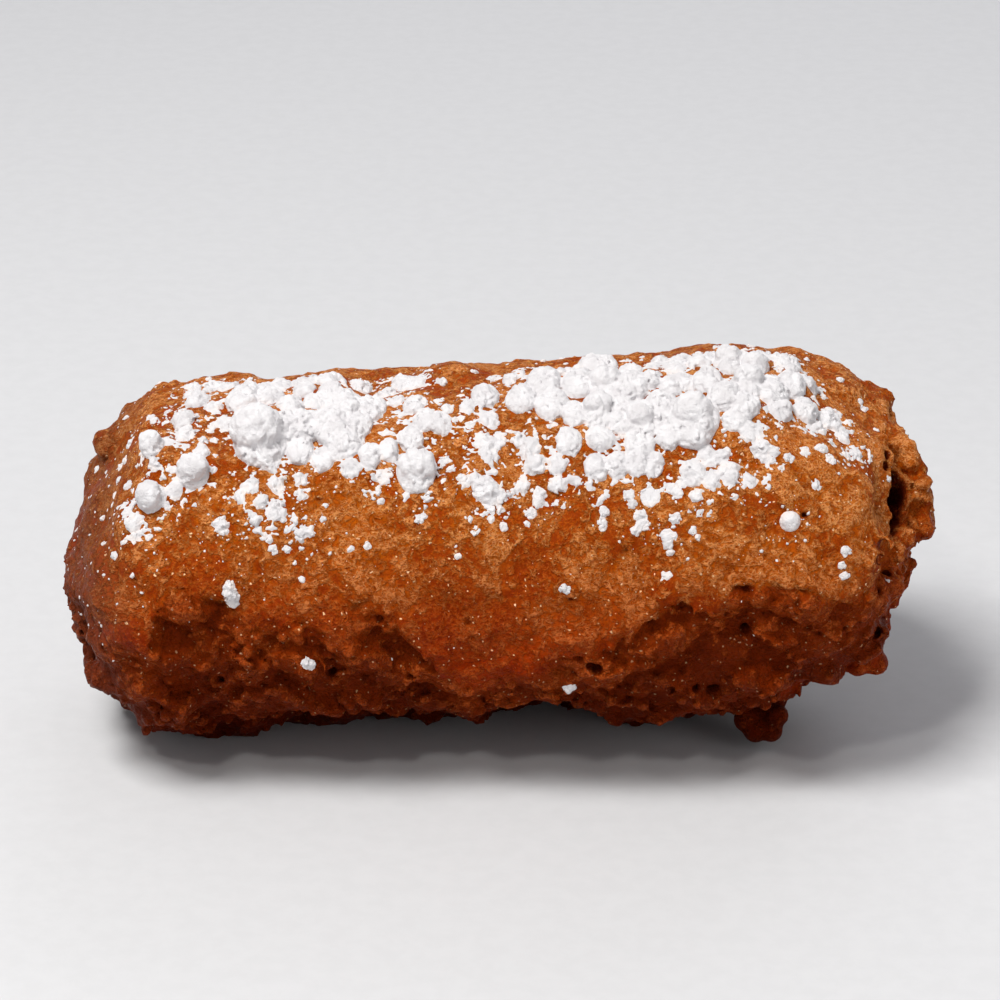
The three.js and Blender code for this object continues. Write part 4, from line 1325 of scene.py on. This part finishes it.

# The crust's looks: what each follows and by how much, where it begins and is full, and its least and most
# where these aren't 0 and 1. A look may follow one above it, and x and z are places in millimetres. Some of
# them
# lead painted light: shade low on the sides, deep below the lip, at the foot, in creases, hollows and pits
# and on the left end, and highlights on the lit flecks.
LOOKS = {
    "high": ({"z": 1}, 18, 42),
    "patch": (
        {"middle": 0.8, "wide": 0.5, "small": 0.8, "ridge": 0.2, "skin": 0.1, "high": 0.13}, 1.16, 1.33,
    ),
    "powder": ({"small": 0.8, "fine": 0.6, "middle": 0.6}, 0.8, 1.12),
    "lined": ({"small": 0.7, "middle": 0.6}, 0.54, 0.7),
    "lighter": ({"middle": 0.6, "wide": 0.5}, 0.46, 0.62),
    "gold_gaps": ({"fine": 1}, 0.47, 0.38, 0, 0.7),
    "amber_gaps": ({"fine": 1}, 0.47, 0.36, 0, 0.8),
    "specks": ({"small": 0.6, "fine": 1}, 0.74, 0.94, 0, 0.9),
    "crag": ({"small": 0.8, "middle": 0.5, "ridge": 0.5, "below": -0.1}, 0.62, 0.76),
    "unburnt_unshaded": ({"middle": 0.7, "small": 0.4, "hollow": 0.5}, 0.4, 0.62, 0.25, 1),
    "crumbs": ({"fine": 1}, 0.38, 0.62),
    "deeper": ({"below": 1}, 0, 0.9),
    "above": ({"skin": 1, "small": 0.9, "patch": 0.15}, 0.55, 1.2),
    "lit": ({"skin": 0.4, "small": 1}, 0.5, 0.75, 0.4, 1),
    "creases": ({"ridge": 1}, -0.12, -0.5, 0, 0.5),
    "hollows": ({"hollow": 1}, -0.12, -0.5, 0, 0.3),
    "off_foot": ({"z": 1}, 1, 14),
    "left_tip": ({"x": 1}, -43, -54),
    "mottled": ({"wide": 1}, 0.3, 0.6, 0.3, 0.65),
    "roughness": ({"patch": 1}, 0, 1, 0.32, 0.5),
    "loose": ({"patch": 1}, 0, 1, 0.3, 1),
    "plates": ({"small": 1}, 0.47, 0.55),
    "firm": ({"skin": 1}, 0, 1, 1, 0.25),
}
LINE_STRENGTH, PATCH_STRENGTH = 0.7, 0.85

# What the coat's weight follows, and how far patterns stand out in millimetres: on the patches, below the
# lip, and in all.
COAT = {"flecks": 0.5, "lines": 0.06, "all": 0.005}
LOOSE_RELIEF = {"fine": 0.4, "lines": 0.16}
BROKEN_RELIEF = {"plates": 0.24, "crag": 0.25, "fine": 0.35}
RELIEF = {"patch": 0.1, "small": 0.3, "loosened": 1, "broken": 1, "flecks": 0.08}

# Tints that the crust's colour is multiplied by: painted shade low on the sides and none above, a redder tone
# near the lip that passes to painted shade deep below it, and painted shade at the foot.
SIDE_SHADE_TINT = (0.60, 0.25, 0.10)
LIP_TINT, DEEP_SHADE_TINT = (1.1, 0.9, 0.85), (0.72, 0.5, 0.42)
FOOT_SHADE_TINT = (0.6, 0.45, 0.35)
NO_TINT = (1, 1, 1)

# The sugar's soft pattern, its limits for the colour and for damp spots, the sizes of its grains in
# millimetres, and how far each stands out.
SOFT_PATTERN = (2.2, 3, 0.55)
DULL, DAMP_SPOTS = (0.35, 0.65), (0.45, 0.65, 0.0, 0.5)
FINE_SIZE, DOT_SIZE = 0.3, 0.13
SUGAR_RELIEF = (0.05, 0.06, 0.04)

# The fine grain's detail, roughness and limits, the inner part of a line, and a speck's sizes and edge.
FINE_GRAIN = {"detail": 3.0, "rough": 0.6, "limits": (0.3, 0.7)}
LINE_CORE = 0.25
FLECK_SIZES = (0.6, 0.5)
FLECK_EDGE = (1.1, 0.6)

# Fixed values of each surface.
CRUST_SURFACE = {
    "Coat Roughness": 0.12, "Specular IOR Level": 0.03, "IOR": 1.45, "Subsurface Weight": 0.12,
    "Subsurface Radius": (1.0, 0.3, 0.08), "Subsurface Scale": 0.001,
}
SUGAR_SURFACE = {"Roughness": 0.9, "Specular IOR Level": 0.25}
FLOOR_SURFACE = {"Roughness": 0.8}


def crust_material(settings):
    material, tree, shader = new_material("fried crust", CRUST_SURFACE)
    place = millimetres(tree)
    parted = add(tree, "ShaderNodeSeparateXYZ", {0: place}).outputs
    marks = {"x": parted["X"], "z": parted["Z"], "all": 1.0}
    marks.update({name: attribute_of(tree, name) for name in CRUST_MARKS})
    marks.update({name: noise_of(tree, place, *pattern) for name, pattern in CRUST_PATTERNS.items()})

    def weighed(weights):
        return sum_of(tree, *((marks[name], weight) for name, weight in weights.items()))

    def painted(colour, *coats):
        """Lays paints on a colour, each where its mark is."""
        for mark, paint in coats:
            colour = blended(tree, marks[mark], colour, (*getattr(settings, paint), 1))
        return colour

    for name, (weights, *limits) in LOOKS.items():
        marks[name] = ramp(tree, weighed(weights), *limits)
    shaken = {"Vector": place, "Scale": SHAKE["scale"], "Detail": SHAKE["detail"]}
    shaken = add(tree, "ShaderNodeTexNoise", shaken).outputs["Color"]
    moved = {0: shaken, 1: SHAKE["by"], 2: place}
    moved = add(tree, "ShaderNodeVectorMath", moved, operation="MULTIPLY_ADD").outputs[0]
    slant = {"Vector": moved, "Rotation": STRAND_TURN, "Scale": STRAND_STRETCH}
    slant = add(tree, "ShaderNodeMapping", slant).outputs[0]
    curls = contour(tree, noise_of(tree, moved, CURLS["spacing"], 1), CURLS["width"])
    strands = contour(tree, noise_of(tree, slant, STRANDS["spacing"], 1), STRANDS["width"])
    marks["lines"] = times(tree, maths(tree, "MAXIMUM", curls, strands), marks["lined"])
    marks["flecks"] = flecks_of(tree, moved, *FLECKS.values())

    # Granular golden patches lie over a glassy, oily ground; few of them below the skin's lip.
    gold = painted((*settings.ochre, 1), ("powder", "golden"), ("gold_gaps", "deep"), ("lines", "pale"))
    marks["faint_lines"] = times(tree, marks["lines"], LINE_STRENGTH)
    amber = painted((*settings.deep, 1), ("lighter", "glassy"), ("amber_gaps", "deep"), ("specks", "ochre"),
                    ("faint_lines", "golden"))
    colour = blended(tree, times(tree, marks["patch"], PATCH_STRENGTH), amber, gold)
    # Painted shade darkens the sides towards the bottom.
    colour = tinted(tree, colour, marks["high"], SIDE_SHADE_TINT, NO_TINT)

    # Below the lip it is translucent umber with browner crags and patches burnt darker; it is blackish in the
    # pits and hollows, and darker further down, which is painted shade.
    umber = painted((*settings.burnt_and_shade, 1), ("unburnt_unshaded", "umber"))
    crags = painted((*settings.umber, 1), ("crumbs", "crag"))
    umber = blended(tree, marks["crag"], umber, crags)
    # Painted shade darkens the umber further below the lip.
    umber = tinted(tree, umber, marks["deeper"], LIP_TINT, DEEP_SHADE_TINT)
    colour = blended(tree, marks["above"], umber, colour)
    # Painted highlights on the lit flecks, then painted shade in the creases and hollows.
    marks["glints"] = times(tree, marks["flecks"], marks["lit"])
    colour = painted(colour, ("glints", "painted_glint"), ("creases", "burnt_and_shade"), ("hollows", "burnt_and_shade"))
    # Painted shade at the foot.
    colour = tinted(tree, colour, marks["off_foot"], FOOT_SHADE_TINT, NO_TINT)
    # Dull purplish painted shade, in patches, on the left end.
    marks["shaded_left_end"] = times(tree, marks["left_tip"], marks["mottled"])
    tree.links.new(painted(colour, ("shaded_left_end", "plum_shade")), shader.inputs["Base Color"])

    # The patches are rough and loose, the flecks glint, and broken plates and crags stand out below the lip.
    tree.links.new(marks["roughness"], shader.inputs["Roughness"])
    tree.links.new(weighed(COAT), shader.inputs["Coat Weight"])
    marks["loosened"] = times(tree, weighed(LOOSE_RELIEF), marks["loose"])
    marks["broken"] = times(tree, weighed(BROKEN_RELIEF), marks["firm"])
    bumped(tree, weighed(RELIEF), shader.inputs["Normal"], shader.inputs["Coat Normal"])
    return material


def sugar_material(settings):
    material, tree, shader = new_material("powdered sugar", SUGAR_SURFACE)
    place = millimetres(tree)
    oily = attribute_of(tree, "damp")
    soft = noise_of(tree, place, *SOFT_PATTERN)
    fine = grain_of(tree, place, FINE_SIZE)
    dots = grain_of(tree, place, DOT_SIZE)
    shade, white, damp = ((*colour, 1) for colour in (settings.shade, settings.white, settings.damp))
    colour = blended(tree, ramp(tree, soft, *DULL), shade, white)
    colour = blended(tree, times(tree, oily, ramp(tree, soft, *DAMP_SPOTS)), colour, damp)
    tree.links.new(colour, shader.inputs["Base Color"])
    bumped(tree, sum_of(tree, *zip((soft, fine, dots), SUGAR_RELIEF)), shader.inputs["Normal"])
    return material


# Name, place, size, power and tint of each light, and what they all point at.
LIGHTS = (
    ("key", (-0.27, -0.26, 0.77), (0.3, 0.3), 7.2, (1.0, 0.985, 0.96)),
    ("spark", (-0.22, -0.5, 0.62), (0.06, 0.06), 0.9, (1.0, 0.97, 0.92)),
    ("fill", (0.75, -0.55, 0.3), (0.6, 0.6), 1.5, (1.0, 0.985, 0.97)),
    ("back", (0.25, 0.8, 0.55), (0.8, 0.4), 2.2, (0.95, 0.95, 1.0)),
)
LIT = (0, 0, 0.03)
WORLD = {"Color": (0.92, 0.92, 0.94, 1), "Strength": 0.3}

# The floor's radius in metres, its corners, the size of its grain in millimetres and how dark that gets.
FLOOR = {"radius": 4, "corners": 96, "grain": 3.0, "dark": 0.97}
NEAREST = 0.01

# Steps of the boxes that find the crust's ridges and hollows, where shade is painted into creases and
# hollows, how far below the lip its holes count as, which paints shade into them, and the share of all its
# points that a body needs to be kept.
RIDGE_STEPS, HOLLOW_STEPS = 2, 8
HOLE_SHADE_DEPTH = 0.4
LEAST_BODY = 0.5


def colour_setting(name, description, value):
    return FloatVectorProperty(name=name, description=description, default=value, subtype="COLOR")


# The add-on's own settings, one operator for each piece and the stage, and a panel that lists them.
class CrustSettings(bpy.types.PropertyGroup):
    """Sizes and colours of the batter crust."""

    voxel: FloatProperty(
        name="Detail", description="Side of the cells that the crust is sculpted in", default=0.0004,
        min=0.0003, unit="LENGTH")
    golden: colour_setting("Golden", "Lightest colour of the skin", (0.585, 0.160, 0.023))
    ochre: colour_setting("Ochre", "Usual colour of the skin", (0.475, 0.092, 0.005))
    glassy: colour_setting("Amber", "Oily ground between the granular patches", (0.46, 0.097, 0.002))
    deep: colour_setting("Deep", "Darker oily ground", (0.26, 0.034, 0.001))
    pale: colour_setting("Pale", "Strokes on the skin", (0.82, 0.33, 0.105))
    # The glinting specks are a painted highlight.
    painted_glint: colour_setting("Painted glint", "Glinting specks", (1.0, 0.62, 0.34))
    umber: colour_setting("Umber", "Oily layers below the skin", (0.23, 0.034, 0.0015))
    crag: colour_setting("Crag", "Crumbs and crags below the skin", (0.48, 0.112, 0.02))
    # A burnt brown that also stands for painted shade in pits, creases, hollows and under the lip.
    burnt_and_shade: colour_setting("Burnt and shade", "Colour in pits and under lips", (0.13, 0.015, 0.001))
    # Painted shade of the left end.
    plum_shade: colour_setting("Plum shade", "Dull tint of the left end", (0.15, 0.042, 0.022))


class SugarSettings(bpy.types.PropertyGroup):
    """Amounts and colours of the powdered sugar."""

    grains: IntProperty(name="Grains", description="Most fine grains of dust", default=4000, min=0)
    lump_size: FloatProperty(
        name="Lump size", description="Size of the loose lumps against the usual one", default=1.0,
        subtype="FACTOR", min=0.2, max=2)
    white: colour_setting("White", "Dry sugar", (0.785, 0.77, 0.785))
    shade: colour_setting("Shade", "Duller dry sugar", (0.69, 0.67, 0.685))
    damp: colour_setting("Damp", "Thin edges that have soaked up oil", (0.80, 0.68, 0.62))


class StageSettings(bpy.types.PropertyGroup):
    """The floor, the lights and the camera."""

    elevation: FloatProperty(
        name="Elevation", description="Height of the camera above level", default=ELEVATION, subtype="ANGLE")
    distance: FloatProperty(
        name="Distance", description="From the camera to the cake", default=DISTANCE / 1000, unit="LENGTH")
    width: FloatProperty(
        name="Width", description="Width of the view at the cake", default=VIEW_WIDTH / 1000, unit="LENGTH")
    floor: colour_setting("Floor", "Colour of the floor", (0.62, 0.625, 0.64))
    light: FloatProperty(name="Light", description="Strength of all lights together", default=1.0, min=0)


# What an operator hands on to the next: the crust's and the drifts' volumes, and the sugar's material.
sculpted = {}


class FRIEDCAKE_OT_crust(bpy.types.Operator):
    """Sculpts the batter crust over the smooth form of the cake"""

    bl_idname = "fried_cake.crust"
    bl_label = "Build the crust"

    def execute(self, context):
        settings = context.scene.fried_crust
        volume = form_volume(settings.voxel * 1000)
        sculpt_layers(volume)
        sculpt_bubbles(volume)
        sculpt_marks(volume)
        sculpted["crust"] = volume
        points, faces = bodies(*volume.surface(), LEAST_BODY)
        crust = thinned(mesh_object("crust", points, faces, crust_material(settings)), CRUST_TRIANGLES)
        places = vertex_places(crust)
        golden, below = browning(places.astype(np.float32))
        inside = in_holes(volume, places)
        # Inside the holes the skin's colour is taken away and they count as deep below the lip: painted
        # shade. The depth below the lip also leads painted shade, darker towards the bottom.
        write_attribute(crust, "skin", golden * (1 - inside))
        write_attribute(crust, "below", np.maximum(below, HOLE_SHADE_DEPTH * inside))
        # Ridges and hollows lead painted shade into the creases and hollows.
        write_attribute(crust, "ridge", 1 - 2 * volume.sample(places, volume.filling(RIDGE_STEPS)))
        write_attribute(crust, "hollow", 1 - 2 * volume.sample(places, volume.filling(HOLLOW_STEPS)))
        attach(crust, "root")
        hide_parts("fried_cake")
        return {"FINISHED"}


class FRIEDCAKE_OT_drifts(bpy.types.Operator):
    """Heaps the two drifts of powdered sugar on the crust"""

    bl_idname = "fried_cake.drifts"
    bl_label = "Heap the sugar drifts"

    def execute(self, context):
        crust = sculpted["crust"]
        material = sugar_material(context.scene.fried_sugar)
        sculpted["sugar"] = material
        for side, drift in (("left", LEFT_DRIFT), ("right", RIGHT_DRIFT)):
            sugar, ground = sculpt_drift(crust, drift)
            sculpted[side] = sugar
            points, faces = bodies(*sugar.surface(), LEAST_CRUMB)
            heap = thinned(mesh_object("sugar_" + side, points, faces, material), SUGAR_TRIANGLES)
            over = sugar.sample(vertex_places(heap), ground)
            write_attribute(heap, "damp", 1 - smooth(*DAMP_BELOW, over))
            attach(heap, "root")
            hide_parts("sugar_drift_" + side)
        return {"FINISHED"}


class FRIEDCAKE_OT_loose_sugar(bpy.types.Operator):
    """Scatters loose lumps and fine dust of sugar over the crust"""

    bl_idname = "fried_cake.loose_sugar"
    bl_label = "Scatter the loose sugar"

    def execute(self, context):
        settings = context.scene.fried_sugar
        crust, material = sculpted["crust"], sculpted["sugar"]
        given = np.array(LOOSE_LUMPS)
        spots, _ = seen(crust, given)
        sizes = given[:, 2] * PIXEL * settings.lump_size
        points, faces = sculpt_flakes(crust, spots, sizes, touching(LOOSE_LUMPS))
        pieces = [thinned(mesh_object("sugar_lumps", points, faces, material), SUGAR_TRIANGLES)]
        over = crust.sample(vertex_places(pieces[0]))
        write_attribute(pieces[0], "damp", 1 - smooth(*DAMP_BELOW, over))
        clumps = list(zip(spots, sizes))
        for drift in (LEFT_DRIFT, RIGHT_DRIFT):
            centres, _, radii, _ = clumps_of(crust, drift, np.random.default_rng(drift["seed"]))
            clumps += list(zip(centres, radii))
        spots, sizes = dust_spots(crust, [sculpted["left"], sculpted["right"]], clumps, settings.grains)
        pieces.append(lumps_object("sugar_dust", crust, spots, sizes, DUST_GRAIN, material))
        write_attribute(pieces[1], "damp", np.ones(len(pieces[1].data.vertices)))
        for piece in pieces:
            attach(piece, "root")
        return {"FINISHED"}


class FRIEDCAKE_OT_stage(bpy.types.Operator):
    """Makes the floor, the lights and the camera"""

    bl_idname = "fried_cake.stage"
    bl_label = "Build the stage"

    def execute(self, context):
        settings = context.scene.fried_stage
        material, tree, shader = new_material("pale floor", FLOOR_SURFACE)
        specks = grain_of(tree, millimetres(tree), FLOOR["grain"])
        light, dark = (*settings.floor, 1), (*(FLOOR["dark"] * c for c in settings.floor), 1)
        tree.links.new(blended(tree, specks, dark, light), shader.inputs["Base Color"])
        bpy.ops.mesh.primitive_circle_add(vertices=FLOOR["corners"], radius=FLOOR["radius"], fill_type="NGON")
        floor = context.object
        floor.name = "floor"
        floor.data.materials.append(material)

        world = bpy.data.worlds.new("studio")
        context.scene.world = world
        world.use_nodes = True
        background = world.node_tree.nodes["Background"]
        background.inputs["Color"].default_value = WORLD["Color"]
        background.inputs["Strength"].default_value = WORLD["Strength"] * settings.light

        for name, place, size, power, tint in LIGHTS:
            lamp = bpy.data.lights.new(name, "AREA")
            lamp.shape = "RECTANGLE"
            lamp.size, lamp.size_y = size
            lamp.energy = power * settings.light
            lamp.color = tint
            holder = bpy.data.objects.new(name, lamp)
            holder.location = place
            holder.rotation_euler = (Vector(LIT) - Vector(place)).to_track_quat("-Z", "Y").to_euler()
            context.scene.collection.objects.link(holder)

        camera = bpy.data.objects.new("camera", bpy.data.cameras.new("camera"))
        back = Vector((0, -math.cos(settings.elevation), math.sin(settings.elevation)))
        camera.location = Vector(AIM / 1000) + back * settings.distance
        camera.rotation_euler = back.to_track_quat("Z", "Y").to_euler()
        camera.data.sensor_fit = "HORIZONTAL"
        camera.data.angle = 2 * math.atan(settings.width / 2 / settings.distance)
        camera.data.clip_start = NEAREST
        context.scene.collection.objects.link(camera)
        context.scene.camera = camera
        context.scene.view_settings.view_transform = "Standard"
        return {"FINISHED"}


class FRIEDCAKE_PT_panel(bpy.types.Panel):
    """The cake's settings and the operators that build it"""

    bl_idname = "FRIEDCAKE_PT_panel"
    bl_label = "Fried Cake"
    bl_space_type = "VIEW_3D"
    bl_region_type = "UI"
    bl_category = "Fried Cake"

    def draw(self, context):
        for group in SETTINGS:
            box = self.layout.box()
            for name in group.bl_rna.properties.keys():
                if name not in ("name", "rna_type"):
                    box.prop(getattr(context.scene, SETTINGS[group]), name)
        for operator in OPERATORS:
            self.layout.operator(operator.bl_idname)


SETTINGS = {CrustSettings: "fried_crust", SugarSettings: "fried_sugar", StageSettings: "fried_stage"}
OPERATORS = (FRIEDCAKE_OT_crust, FRIEDCAKE_OT_drifts, FRIEDCAKE_OT_loose_sugar, FRIEDCAKE_OT_stage)


def register():
    for kind in (*SETTINGS, *OPERATORS, FRIEDCAKE_PT_panel):
        bpy.utils.register_class(kind)
    for kind, name in SETTINGS.items():
        setattr(bpy.types.Scene, name, PointerProperty(type=kind))


def unregister():
    for name in SETTINGS.values():
        delattr(bpy.types.Scene, name)
    for kind in (FRIEDCAKE_PT_panel, *OPERATORS, *SETTINGS):
        bpy.utils.unregister_class(kind)


def main():
    register()
    bpy.ops.fried_cake.crust()
    bpy.ops.fried_cake.drifts()
    bpy.ops.fried_cake.loose_sugar()
    bpy.ops.fried_cake.stage()


if __name__ == "__main__":
    main()
